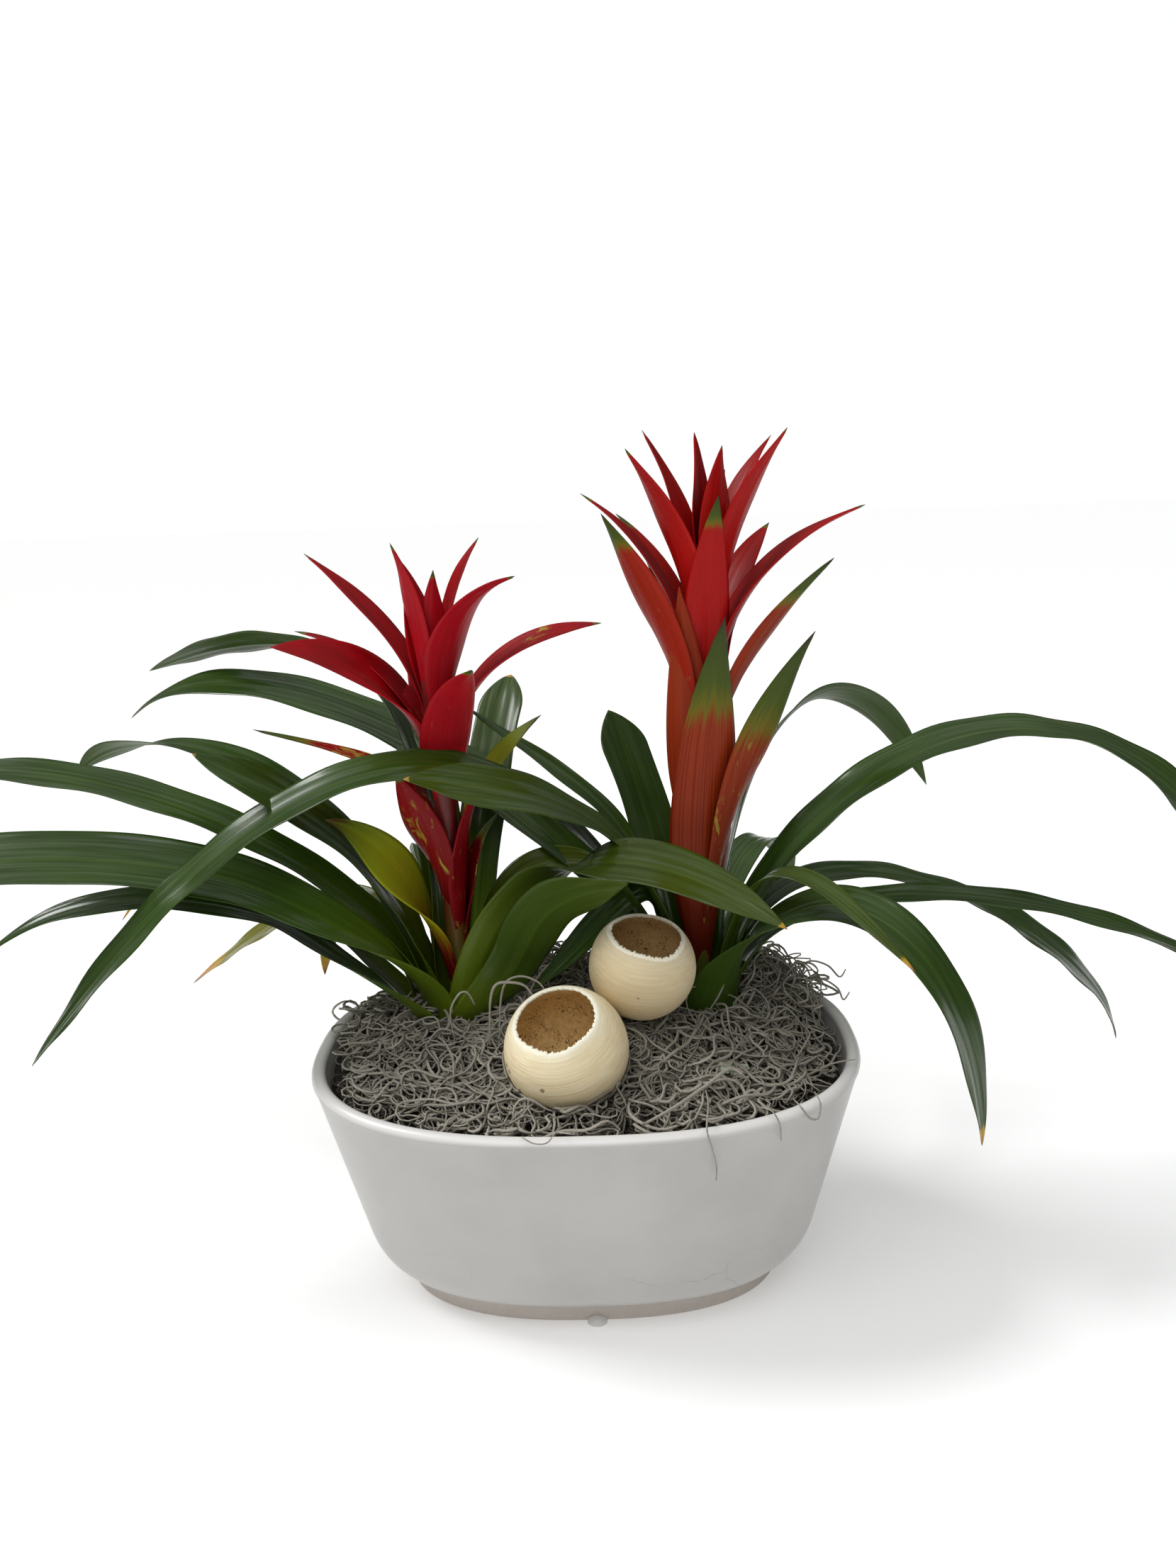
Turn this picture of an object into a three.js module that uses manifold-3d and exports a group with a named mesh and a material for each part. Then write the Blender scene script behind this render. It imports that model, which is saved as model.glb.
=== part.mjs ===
// A planted bowl: two bromeliads with red blooms in an oval white pot, under grey moss, with two dried seed pods.
// Millimetres, +Z up. The origin is the centre of the pot's foot, on the surface that it stands on.
// +X is the pot's long axis, and the front of the planting faces -Y.
import * as THREE from 'three';
import { mergeVertices } from 'three/addons/utils/BufferGeometryUtils.js';
import Module from 'manifold-3d';

const wasm = await Module();
wasm.setup();

// Gap between pieces that touch.
const FIT = 0.3;

// Pot: a superellipse in plan, drawn in from the rim line by an inset that depends on the height.
const POT = {
  halfLength: 125,
  halfDepth: 88.7,
  squareness: 2.45,
  height: 113.6,
  wall: 6.2,
  floor: 9,
  footHeight: 12,
  footInset: 37,
  skirtInset: 31.3,
  shoulderHeight: 33.4,
  shoulderInset: 18.9,
};
const POT_SIDES = 40;
const FOOT_BEAD = { radius: 4.5, height: 3 };

// Filling: soil to SOIL_TOP, then moss that mounds from the rim to the plants.
const SOIL_TOP = 95;
const MOSS = { rimHeight: 106, crownHeight: 122, tuft: { x: 88, y: 40, radius: 34, rise: 14 } };

// Plants: where each flower stem leaves the soil, how far it leans, and how tall it stands.
const STEM_FOOT = 72;
const CROWN_HOLE = [22.4, 30];
const CROWN_BASE = 114;
const PLANTS = {
  left: { x: -60, y: 24, leanX: -3.5, leanY: -8, top: 292, stemRadius: 5.2, leanHeight: 200 },
  right: { x: 55, y: 27, leanX: 12.5, leanY: 0, top: 338, stemRadius: 5.6, leanHeight: 250 },
};

// Blades: leaves and bracts are thin closed solids with a curved section.
const LEAF_THICKNESS = 0.8;
const BRACT_THICKNESS = 1.1;
const SHEATH = { firstRadius: 9, step: 1.15, wrap: 0.86 };

// Seed pods: hollow balls with a wall and an open mouth.
const PODS = [
  { name: 'seed_pod_front', x: -7.2, y: -38, z: 127.6, radius: 27, mouth: 17.5, wall: 2.8,
    facing: [-0.18, -0.41, 0.89] },
  { name: 'seed_pod_back', x: 27, y: -8, z: 151.8, radius: 24.1, mouth: 16.6, wall: 2.6,
    facing: [0.14, -0.21, 0.967] },
];

const POD_SIDES = 18;
const POD_STEPS = 7;

// Leaves. turn is the compass angle in degrees from +X. The midline is a cubic curve in that upright plane,
// from the crown through two handles to the tip, each as [reach from the stem, height]. ring is the sheath's
// place, counted from the stem out. tilt turns the blade about its midline: degrees before and after a twist,
// and its place. veer is how many degrees round the stem the foot sits from turn.
const LEAVES = {
  left: [
    { name: 'left_leaf_01', turn: 143, ring: 1.2, climb: [20, 214], crest: [-24, 343],
      tip: [232, 266], width: 21, tilt: [30, 32, 0.5], point: 0.3 },
    { name: 'left_leaf_02', turn: 76, ring: 0, climb: [26, 185], crest: [78, 260],
      tip: [100, 264], width: 24, tilt: [0, 0, 0.5], point: 0.14 },
    { name: 'left_leaf_03', turn: 20, ring: 2, climb: [13, 188], crest: [40, 199],
      tip: [88, 176], width: 16, tilt: [28, 34, 0.5], point: 0.35 },
    { name: 'left_leaf_04', turn: 196, ring: 2, climb: [17, 204], crest: [80, 238],
      tip: [109, 256], width: 26, tilt: [-20, -28, 0.6], point: 0.2 },
    { name: 'left_leaf_05', turn: 112, ring: 3.6, climb: [16, 200], crest: [28, 268],
      tip: [100, 228], width: 24, tilt: [0, 0, 0.5], point: 0.3 },
    { name: 'left_leaf_06', turn: 166, ring: 4, climb: [40, 256], crest: [168, 264],
      tip: [198, 229], width: 23, tilt: [-4, 26, 0.8], point: 0.16 },
    { name: 'left_leaf_07', turn: -23, veer: -40, ring: 4, climb: [16, 190], crest: [75, 230],
      tip: [160, 180], width: 27, tilt: [-42, 26, 0.5], point: 0.3 },
    { name: 'left_leaf_08', turn: 180, ring: 5.2, climb: [17, 190], crest: [177, 270],
      tip: [262, 236], width: 21.5, tilt: [-18, -18, 0.5], point: 0.3 },
    { name: 'left_leaf_09', turn: 52, ring: 6, climb: [36, 157], crest: [100, 204],
      tip: [146, 140], width: 24, tilt: [0, 0, 0.5], point: 0.3 },
    { name: 'left_leaf_10', turn: 174, ring: 8.4, climb: [52, 152], crest: [112, 232],
      tip: [168, 162], width: 16, tilt: [-6, 0, 0.5], point: 0.4 },
    { name: 'left_leaf_11', turn: 190, veer: 38, ring: 6.5, climb: [22, 196], crest: [218, 243],
      tip: [286, 186], width: 30, tilt: [-36, -34, 0.5], point: 0.3 },
    { name: 'left_leaf_12', turn: -37, veer: -26, ring: 5.6, climb: [56, 174], crest: [40, 181],
      tip: [102, 202], width: 28, tilt: [-40, -50, 0.6], point: 0.35 },
    { name: 'left_leaf_13', turn: 150, ring: 8.6, climb: [22, 174], crest: [74, 190],
      tip: [89, 118], width: 15, tilt: [0, 0, 0.5], point: 0.25 },
    { name: 'left_leaf_14', turn: 188, veer: 40, ring: 9.7, climb: [58, 181], crest: [158, 210],
      tip: [214, 164], width: 18, tilt: [-14, -20, 0.5], point: 0.4 },
    { name: 'left_leaf_15', turn: 150, ring: 10, climb: [36, 182], crest: [68, 186],
      tip: [193, 92], width: 20, tilt: [-26, -30, 0.5], point: 0.5 },
    { name: 'left_leaf_16', turn: 104, ring: 6, climb: [30, 180], crest: [100, 200],
      tip: [146, 132], width: 24, tilt: [0, 0, 0.5], point: 0.3 },
  ],
  right: [
    { name: 'right_leaf_01', turn: 170, ring: 0, climb: [21, 217], crest: [51, 220],
      tip: [109, 263], width: 13, tilt: [-14, -18, 0.5], point: 0.4 },
    { name: 'right_leaf_02', turn: 134, ring: 1, climb: [12, 166], crest: [43, 234],
      tip: [57, 254], width: 30, tilt: [0, 0, 0.5], point: 0.14 },
    { name: 'right_leaf_03', turn: 200, veer: 22, ring: 5, climb: [15, 206], crest: [54, 230],
      tip: [135, 245], width: 27, tilt: [-14, -34, 0.68], point: 0.2 },
    { name: 'right_leaf_04', turn: 38, ring: 2, climb: [14, 270], crest: [103, 299],
      tip: [171, 193], width: 16, tilt: [-38, -38, 0.6], point: 0.25 },
    { name: 'right_leaf_05', turn: 160, ring: 1.2, climb: [46, 222], crest: [250, 307],
      tip: [323, 244], width: 27, tilt: [-30, -18, 0.45], point: 0.15 },
    { name: 'right_leaf_06', turn: 8, ring: 4, climb: [18, 224], crest: [198, 331],
      tip: [292, 127], width: 31, tilt: [8, 46, 0.7], point: 0.22 },
    { name: 'right_leaf_07', turn: 192, ring: 2.2, climb: [37, 216], crest: [127, 345],
      tip: [303, 125], width: 25, tilt: [14, -18, 0.2], point: 0.2 },
    { name: 'right_leaf_08', turn: 64, ring: 4.8, climb: [15, 184], crest: [110, 196],
      tip: [150, 130], width: 20, tilt: [0, 0, 0.5], point: 0.3 },
    { name: 'right_leaf_09', turn: 13, ring: 6, climb: [17, 248], crest: [222, 129],
      tip: [233, 63], width: 23, tilt: [6, 30, 0.6], point: 0.2 },
    { name: 'right_leaf_10', turn: 192, ring: 6, climb: [17, 210], crest: [24, 182],
      tip: [81, 133], width: 15, tilt: [-30, -40, 0.5], point: 0.35 },
    { name: 'right_leaf_11', turn: -3, ring: 7.4, climb: [19, 207], crest: [210, 170],
      tip: [262, 116], width: 19, tilt: [7, 7, 0.5], point: 0.3 },
    { name: 'right_leaf_12', turn: -42, veer: -24, ring: 9.2, climb: [20, 206], crest: [50, 212],
      tip: [113, 163], width: 12.5, tilt: [5, 8, 0.5], point: 0.4 },
    { name: 'right_leaf_13', turn: -28, veer: -48, ring: 10.6, climb: [23, 204], crest: [128, 204],
      tip: [135, 74], width: 24, tilt: [26, 14, 0.55], point: 0.3 },
  ],
};

// Bracts, as the leaves, but measured from the stem's axis at the bract's foot. foot is that height.
const BRACTS = {
  left: [
    { turn: 200, foot: 128, climb: [8, 165], crest: [34, 214], tip: [56, 221], width: 32, tilt: -50 },
    { turn: 20, foot: 140, climb: [8, 175], crest: [8, 200], tip: [24, 214], width: 22, tilt: 0 },
    { turn: 172, foot: 165, climb: [7, 200], crest: [10, 226], tip: [19, 240], width: 18, tilt: 0 },
    { turn: -20, foot: 150, climb: [6, 195], crest: [6, 218], tip: [20, 232], width: 20, tilt: 0 },
    { turn: 212, foot: 165, climb: [5, 190], crest: [14, 216], tip: [24, 240], width: 24, tilt: 45 },
    { turn: 12, foot: 190, climb: [8, 222], crest: [22, 244], tip: [46, 260], width: 15, tilt: 25 },
    { turn: 175, foot: 200, climb: [8, 240], crest: [42, 246], tip: [88, 258], width: 14, tilt: 0 },
    { turn: -62, foot: 215, climb: [6, 262], crest: [20, 280], tip: [44, 290], width: 26, tilt: 0 },
    { turn: 60, foot: 222, climb: [6, 252], crest: [12, 270], tip: [28, 279], width: 20, tilt: 0 },
    { turn: -14, foot: 228, climb: [6, 255], crest: [12, 268], tip: [22, 281], width: 12, tilt: 0 },
    { turn: 112, foot: 225, climb: [6, 262], crest: [18, 284], tip: [46, 294], width: 20, tilt: 0 },
    { turn: 192, foot: 228, climb: [6, 268], crest: [30, 296], tip: [70, 299], width: 31, tilt: -36 },
    { turn: 4, foot: 232, climb: [6, 272], crest: [28, 300], tip: [75, 302], width: 20, tilt: 20 },
    { turn: 168, foot: 236, climb: [8, 276], crest: [34, 296], tip: [66, 302], width: 16, tilt: 0 },
    { turn: -36, foot: 252, climb: [6, 292], crest: [14, 318], tip: [50, 327], width: 25, tilt: 0 },
    { turn: 160, foot: 250, climb: [6, 287], crest: [24, 309], tip: [62, 336], width: 16, tilt: 0 },
    { turn: 130, foot: 254, climb: [6, 294], crest: [10, 316], tip: [22, 332], width: 18, tilt: 0 },
    { turn: 215, foot: 262, climb: [7, 300], crest: [8, 322], tip: [16, 341], width: 19, tilt: 0 },
    { turn: 25, foot: 262, climb: [6, 300], crest: [8, 320], tip: [25, 341], width: 17, tilt: 0 },
    { turn: -60, foot: 268, climb: [6, 296], crest: [4, 316], tip: [9, 329], width: 14, tilt: 0 },
  ],
  right: [
    { turn: -68, foot: 128, climb: [8, 190], crest: [10, 262], tip: [29, 306], width: 34, tilt: 0 },
    { turn: 95, foot: 132, climb: [8, 180], crest: [10, 224], tip: [28, 248], width: 25, tilt: 0 },
    { turn: -15, foot: 140, climb: [8, 196], crest: [24, 252], tip: [53, 297], width: 25, tilt: -46 },
    { turn: 142, foot: 150, climb: [8, 205], crest: [10, 220], tip: [14, 236], width: 20, tilt: 0 },
    { turn: 240, foot: 170, climb: [8, 225], crest: [8, 275], tip: [16, 318], width: 25, tilt: 12 },
    { turn: -12, foot: 226, climb: [6, 262], crest: [24, 296], tip: [58, 328], width: 22, tilt: -26 },
    { turn: 198, foot: 232, climb: [8, 280], crest: [22, 312], tip: [45, 350], width: 25, tilt: 24 },
    { turn: -78, foot: 236, climb: [8, 290], crest: [10, 330], tip: [27, 356], width: 23, tilt: 0 },
    { turn: 26, foot: 244, climb: [8, 284], crest: [14, 302], tip: [25, 317], width: 15, tilt: 0 },
    { turn: 140, foot: 246, climb: [6, 292], crest: [18, 328], tip: [48, 348], width: 20, tilt: 0 },
    { turn: 168, foot: 254, climb: [6, 300], crest: [20, 336], tip: [54, 358], width: 17, tilt: 0 },
    { turn: 5, foot: 258, climb: [6, 304], crest: [27, 334], tip: [72, 349], width: 25, tilt: 0 },
    { turn: 50, foot: 262, climb: [6, 300], crest: [27, 326], tip: [53, 341], width: 21, tilt: 0 },
    { turn: 78, foot: 272, climb: [6, 318], crest: [12, 348], tip: [40, 366], width: 20, tilt: 0 },
    { turn: 208, foot: 276, climb: [6, 320], crest: [16, 346], tip: [39, 376], width: 24, tilt: 0 },
    { turn: -30, foot: 284, climb: [6, 328], crest: [15, 353], tip: [37, 382], width: 25, tilt: 0 },
    { turn: 145, foot: 292, climb: [6, 336], crest: [14, 356], tip: [33, 384], width: 14, tilt: 0 },
    { turn: 40, foot: 294, climb: [6, 340], crest: [15, 358], tip: [40, 380], width: 14, tilt: 0 },
    { turn: 150, foot: 304, climb: [6, 336], crest: [4, 360], tip: [7, 382], width: 21, tilt: 0 },
    { turn: -52, foot: 304, climb: [6, 336], crest: [3, 358], tip: [8, 376], width: 19, tilt: 0 },
    { turn: 30, foot: 306, climb: [6, 334], crest: [4, 354], tip: [8, 366], width: 14, tilt: 0 },
  ],
};

const COLOURS = {
  pot: { color: 0xe9e8e4, roughness: 0.35 },
  soil: { color: 0x2b211a, roughness: 1 },
  moss: { color: 0x8b877c, roughness: 1 },
  pod: { color: 0xd9c49a, roughness: 0.75 },
  leaf: { color: 0x2f5a1e, roughness: 0.42 },
  crimson: { color: 0xa90f1c, roughness: 0.45 },
  scarlet: { color: 0xb3180f, roughness: 0.45 },
};

const lerp = THREE.MathUtils.lerp;
const clamp = THREE.MathUtils.clamp;
const smooth = THREE.MathUtils.smoothstep;
const radians = THREE.MathUtils.degToRad;

// A repeatable stream of numbers from 0 to 1.
function seeded(seed) {
  let state = seed;
  return () => {
    state = (state * 1664525 + 1013904223) % 4294967296;
    return state / 4294967296;
  };
}

// Flat arrays to an indexed geometry, turned so that its faces point out.
function closedGeometry(points, triangles) {
  const a = new THREE.Vector3();
  const b = new THREE.Vector3();
  const c = new THREE.Vector3();
  let volume = 0;
  for (const [i, j, k] of triangles) {
    volume += a.copy(points[i]).dot(b.copy(points[j]).cross(c.copy(points[k])));
  }
  const faces = volume < 0 ? triangles.map(([i, j, k]) => [i, k, j]) : triangles;
  const geometry = new THREE.BufferGeometry();
  geometry.setAttribute('position', new THREE.Float32BufferAttribute(points.flatMap((p) => [p.x, p.y, p.z]), 3));
  geometry.setIndex(faces.flat());
  return geometry;
}

// A closed skin over a stack of rings with equal counts, with a centre point at each end.
function ringStack(rings) {
  const count = rings[0].length;
  const points = rings.flat();
  const triangles = [];
  for (let r = 0; r + 1 < rings.length; r += 1) {
    for (let i = 0; i < count; i += 1) {
      const next = (i + 1) % count;
      const low = r * count;
      const high = low + count;
      triangles.push([low + i, low + next, high + next], [low + i, high + next, high + i]);
    }
  }
  for (const [first, ring, flip] of [[0, rings[0], true], [(rings.length - 1) * count, rings.at(-1), false]]) {
    const centre = new THREE.Vector3();
    ring.forEach((p) => centre.addScaledVector(p, 1 / count));
    points.push(centre);
    for (let i = 0; i < count; i += 1) {
      const pair = [first + i, first + ((i + 1) % count)];
      triangles.push(flip ? [pair[1], pair[0], points.length - 1] : [pair[0], pair[1], points.length - 1]);
    }
  }
  return closedGeometry(points, triangles);
}

function toSolid(geometry) {
  const bare = geometry.clone();
  bare.deleteAttribute('normal');
  bare.deleteAttribute('uv');
  const merged = mergeVertices(bare, 1e-4);
  const mesh = new wasm.Mesh({
    numProp: 3,
    vertProperties: new Float32Array(merged.attributes.position.array),
    triVerts: new Uint32Array(merged.index.array),
  });
  return new wasm.Manifold(mesh);
}

function toGeometry(solid) {
  const mesh = mainBody(solid.simplify(0.02)).getMesh();
  const geometry = new THREE.BufferGeometry();
  geometry.setAttribute('position', new THREE.BufferAttribute(new Float32Array(mesh.vertProperties), 3));
  geometry.setIndex(new THREE.BufferAttribute(new Uint32Array(mesh.triVerts), 1));
  return geometry;
}

// The largest of the bodies in a solid: what a cut leaves over elsewhere is dropped.
function mainBody(solid) {
  return solid.decompose().reduce((best, body) => (body.volume() > best.volume() ? body : best));
}

const parts = new THREE.Group();

function addPart(name, geometry, colour) {
  const shaded = geometry.index ? geometry.toNonIndexed() : geometry;
  shaded.computeVertexNormals();
  const mesh = new THREE.Mesh(shaded, new THREE.MeshStandardMaterial({ ...colour, metalness: 0 }));
  mesh.name = name;
  parts.add(mesh);
  return mesh;
}

// One ring of the pot's plan, drawn in by an inset, at a height.
function ovalRing(inset, z, sides = POT_SIDES) {
  const power = 2 / POT.squareness;
  return Array.from({ length: sides }, (_, i) => {
    const angle = (i / sides) * Math.PI * 2;
    const c = Math.cos(angle);
    const s = Math.sin(angle);
    const x = Math.sign(c) * Math.abs(c) ** power * (POT.halfLength - inset);
    const y = Math.sign(s) * Math.abs(s) ** power * (POT.halfDepth - inset);
    return new THREE.Vector3(x, y, z);
  });
}

// Inset of the outer wall: straight from the rim to the shoulder, then rounded in to the skirt over the foot.
function outerInset(z) {
  if (z >= POT.shoulderHeight) {
    return POT.shoulderInset * (POT.height - z) / (POT.height - POT.shoulderHeight);
  }
  const down = (POT.shoulderHeight - z) / (POT.shoulderHeight - POT.footHeight);
  return POT.shoulderInset + (POT.skirtInset - POT.shoulderInset) * (0.42 * down + 0.58 * down ** 2.6);
}

const innerInset = (z) => outerInset(Math.max(z, POT.shoulderHeight)) + POT.wall;

function potGeometry() {
  const rings = [];
  const ring = (inset, z) => rings.push(ovalRing(inset, z));
  ring(POT.footInset + 0.8, 0);
  ring(POT.footInset, 0.8);
  ring(POT.footInset - 0.4, POT.footHeight - 0.4);
  for (const z of [12, 15.5, 20.5, 26.5, 33.4, 108]) {
    ring(outerInset(z), z);
  }
  const lip = POT.wall / 2;
  for (const angle of [20, 65, 115, 160]) {
    const across = lip - lip * Math.cos(radians(angle));
    ring(outerInset(POT.height) + across, POT.height - lip + lip * Math.sin(radians(angle)));
  }
  for (const z of [107, 26]) {
    ring(innerInset(z), z);
  }
  ring(innerInset(26) + 8, POT.floor + 4);
  ring(innerInset(26) + 18, POT.floor);
  return ringStack(rings);
}

function soilGeometry() {
  const low = [[18 + FIT, POT.floor + FIT], [8 + FIT, POT.floor + 4 + FIT]];
  const rings = [...low, [FIT, 26], [FIT, POT.shoulderHeight]];
  const sides = POT_SIDES / 2;
  const stack = rings.map(([inset, z]) => ovalRing(innerInset(26) + inset, z, sides));
  stack.push(ovalRing(innerInset(SOIL_TOP) + FIT, SOIL_TOP, sides));
  return ringStack(stack);
}

// Moss height: a mound that rises from the rim towards the plants, with a tuft at the back right and soft
// lumps.
function mossHeight(x, y) {
  const out = Math.hypot(x / 118, (y - 8) / 84);
  const mound = 1 - smooth(out, 0.12, 1);
  const fromTuft = Math.hypot(x - MOSS.tuft.x, y - MOSS.tuft.y) / MOSS.tuft.radius;
  const tuft = MOSS.tuft.rise * Math.exp(-(fromTuft ** 2));
  const lumps = 1.3 * Math.sin(x * 0.21 + y * 0.11) * Math.cos(y * 0.23 - x * 0.07);
  return lerp(MOSS.rimHeight, MOSS.crownHeight, mound) + tuft + lumps;
}

function mossBed() {
  const under = SOIL_TOP + FIT;
  const edge = innerInset(MOSS.rimHeight) + FIT;
  const rings = [ovalRing(innerInset(under) + FIT, under), ovalRing(edge, MOSS.rimHeight - 1)];
  for (const share of [0.93, 0.76, 0.52, 0.26]) {
    rings.push(ovalRing(edge, 0).map((p) => {
      const x = p.x * share;
      const y = p.y * share;
      return new THREE.Vector3(x, y, mossHeight(x, y));
    }));
  }
  return toSolid(ringStack(rings));
}

// One curled moss strand: its heading turns steadily one way, then the other, while it arches over the bed.
function mossStrand(random) {
  const angle = random() * Math.PI * 2;
  const spread = 0.93 * Math.sqrt(random());
  let x = Math.cos(angle) * spread * (POT.halfLength - 12);
  let y = Math.sin(angle) * spread * (POT.halfDepth - 12);
  let heading = random() * Math.PI * 2;
  const curl = (0.35 + 0.55 * random()) * (random() < 0.5 ? -1 : 1);
  const lift = 2 + 5 * random();
  const steps = 6;
  const points = [];
  for (let i = 0; i <= steps; i += 1) {
    const rise = lift * Math.sin((i / steps) * Math.PI) - 1.6;
    points.push(new THREE.Vector3(x, y, mossHeight(x, y) + rise));
    x += 5.5 * Math.cos(heading);
    y += 5.5 * Math.sin(heading);
    heading += curl;
  }
  return points;
}

const insideRim = (p, room) => {
  const reach = (Math.abs(p.x) / (POT.halfLength - room)) ** POT.squareness;
  return reach + (Math.abs(p.y) / (POT.halfDepth - room)) ** POT.squareness < 1;
};

// A tube round a list of points, with a few sides.
function tube(points, radius, sides) {
  const curve = new THREE.CatmullRomCurve3(points);
  const frames = curve.computeFrenetFrames(points.length - 1, false);
  const rings = points.map((p, i) => Array.from({ length: sides }, (_, k) => {
    const angle = (k / sides) * Math.PI * 2;
    return p.clone()
      .addScaledVector(frames.normals[i], radius * Math.cos(angle))
      .addScaledVector(frames.binormals[i], radius * Math.sin(angle));
  }));
  return ringStack(rings);
}

// A stem leans more the higher it goes.
function stemAxis(plant, z) {
  const up = (z - CROWN_BASE) / plant.leanHeight;
  return new THREE.Vector3(plant.x + plant.leanX * up * up, plant.y + plant.leanY * up * up, z);
}

const cubic = (a, b, c, d, t) => {
  const s = 1 - t;
  return s ** 3 * a + 3 * s * s * t * b + 3 * s * t * t * c + t ** 3 * d;
};

// Equal steps along a cubic curve in a plane, from its length.
function evenCubic(root, climb, crest, tip, count) {
  const samples = 120;
  const points = [];
  const lengths = [0];
  for (let i = 0; i <= samples; i += 1) {
    const t = i / samples;
    points.push([cubic(root[0], climb[0], crest[0], tip[0], t), cubic(root[1], climb[1], crest[1], tip[1], t)]);
    if (i > 0) {
      lengths.push(lengths[i - 1] + Math.hypot(points[i][0] - points[i - 1][0], points[i][1] - points[i - 1][1]));
    }
  }
  return Array.from({ length: count + 1 }, (_, k) => {
    const wanted = (lengths[samples] * k) / count;
    const i = Math.max(1, lengths.findIndex((l) => l >= wanted - 1e-9));
    const share = (wanted - lengths[i - 1]) / (lengths[i] - lengths[i - 1]);
    return {
      reach: lerp(points[i - 1][0], points[i][0], share),
      height: lerp(points[i - 1][1], points[i][1], share),
    };
  });
}

// A blade: a section that is an arc of the wanted width and wrap, carried along the midline, closed at its edges
// and ending in a point. heading, width, wrap and tilt are functions of the share of the length. spare makes it
// stouter, and wider on the same curve, which is the room to cut into a neighbour.
function bladeSolid({ origin, heading, line, width, wrap, tilt, thickness, across, spare = 0 }) {
  const points = [];
  const triangles = [];
  const last = line.length - 1;
  const perRing = across * 2;
  const away = (share) => {
    const angle = radians(heading(share));
    return new THREE.Vector3(Math.cos(angle), Math.sin(angle), 0);
  };
  const spine = line.map(({ reach, height }, step) => {
    const centre = new THREE.Vector3(origin.x, origin.y, 0).addScaledVector(away(step / last), reach);
    return centre.setZ(height);
  });
  spine.forEach((centre, step) => {
    const share = step / last;
    if (step === last) {
      points.push(centre);
      return;
    }
    const along = spine[step + 1].clone().sub(spine[Math.max(step - 1, 0)]).normalize();
    const out = away(share);
    const side = new THREE.Vector3(-out.y, out.x, 0);
    side.addScaledVector(along, -side.dot(along)).normalize();
    const turned = side.applyAxisAngle(along, radians(tilt(share)));
    const face = along.clone().cross(turned);
    const radius = width(share) / (2 * wrap(share));
    const angle = wrap(share) + 2.5 * spare / radius;
    const half = (thickness + spare) / 2;
    const place = (u, offset) => centre.clone()
      .addScaledVector(turned, (radius - offset) * Math.sin(u * angle))
      .addScaledVector(face, radius - (radius - offset) * Math.cos(u * angle));
    for (let i = 0; i <= across; i += 1) {
      const u = (2 * i) / across - 1;
      points.push(place(u, i === 0 || i === across ? 0 : half));
    }
    for (let i = across - 1; i > 0; i -= 1) {
      points.push(place((2 * i) / across - 1, -half));
    }
  });
  const lower = (base, i) => base + ((perRing - i) % perRing);
  for (let step = 0; step < last; step += 1) {
    const base = step * perRing;
    const next = base + perRing;
    for (let i = 0; i < across; i += 1) {
      if (step === last - 1) {
        triangles.push([base + i, base + i + 1, next], [lower(base, i + 1), lower(base, i), next]);
      } else {
        triangles.push([base + i, base + i + 1, next + i + 1], [base + i, next + i + 1, next + i]);
        triangles.push([lower(base, i + 1), lower(base, i), lower(next, i + 1)]);
        triangles.push([lower(base, i), lower(next, i), lower(next, i + 1)]);
      }
    }
  }
  for (let i = 0; i < across; i += 1) {
    if (i > 0) {
      triangles.push([i, lower(0, i), i + 1]);
    }
    if (i < across - 1) {
      triangles.push([lower(0, i), lower(0, i + 1), i + 1]);
    }
  }
  return toSolid(closedGeometry(points, triangles));
}

const sheathRadius = (leaf) => SHEATH.firstRadius + SHEATH.step * leaf.ring;

// A strap leaf: a sheath that wraps the stem, a channelled blade and a pointed tip.
function leafSolid(plant, leaf, spare = 0) {
  const radius = sheathRadius(leaf);
  const sheath = Math.min(2 * SHEATH.wrap * radius, 1.25 * leaf.width);
  const rough = Math.hypot(leaf.tip[0], leaf.tip[1] - CROWN_BASE) * 1.25;
  const count = Math.round(clamp(rough / 27, 7, 13));
  return bladeSolid({
    origin: plant,
    heading: (t) => leaf.turn + (leaf.veer ?? 0) * (1 - smooth(t, 0, 0.4)),
    line: evenCubic([radius, CROWN_BASE], leaf.climb, leaf.crest, leaf.tip, count),
    width: (t) => {
      const blade = leaf.width * lerp(0.8, 1, smooth(t, 0.1, 0.55));
      const taper = Math.sin(clamp((1 - t) / leaf.point, 0, 1) * Math.PI / 2) ** 0.9;
      return lerp(sheath, blade, smooth(t, 0.03, 0.28)) * taper;
    },
    wrap: (t) => lerp(sheath / (2 * radius), lerp(0.42, 0.2, t), smooth(t, 0.03, 0.32)),
    tilt: (t) => {
      const [before, after, place] = leaf.tilt;
      return lerp(before * smooth(t, 0.04, 0.3), after, smooth(t, place - 0.13, place + 0.13));
    },
    thickness: LEAF_THICKNESS,
    across: 4,
    spare,
  });
}

// A bract: a broad blade that hugs the stem at its foot and draws out to a fine point.
function bractSolid(plant, bract) {
  const origin = stemAxis(plant, bract.foot);
  return bladeSolid({
    origin,
    heading: () => bract.turn,
    line: evenCubic([plant.stemRadius - 1.6, bract.foot], bract.climb, bract.crest, bract.tip, 5),
    width: (t) => {
      const taper = Math.sin(clamp((1 - t) / 0.56, 0, 1) * Math.PI / 2) ** 0.95;
      return bract.width * (0.4 + 0.6 * smooth(t, 0, 0.45)) * taper;
    },
    wrap: (t) => lerp(1, 0.35, smooth(t, 0, 0.7)),
    tilt: (t) => bract.tilt * smooth(t, 0.2, 0.8),
    thickness: BRACT_THICKNESS,
    across: 3,
  });
}

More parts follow.
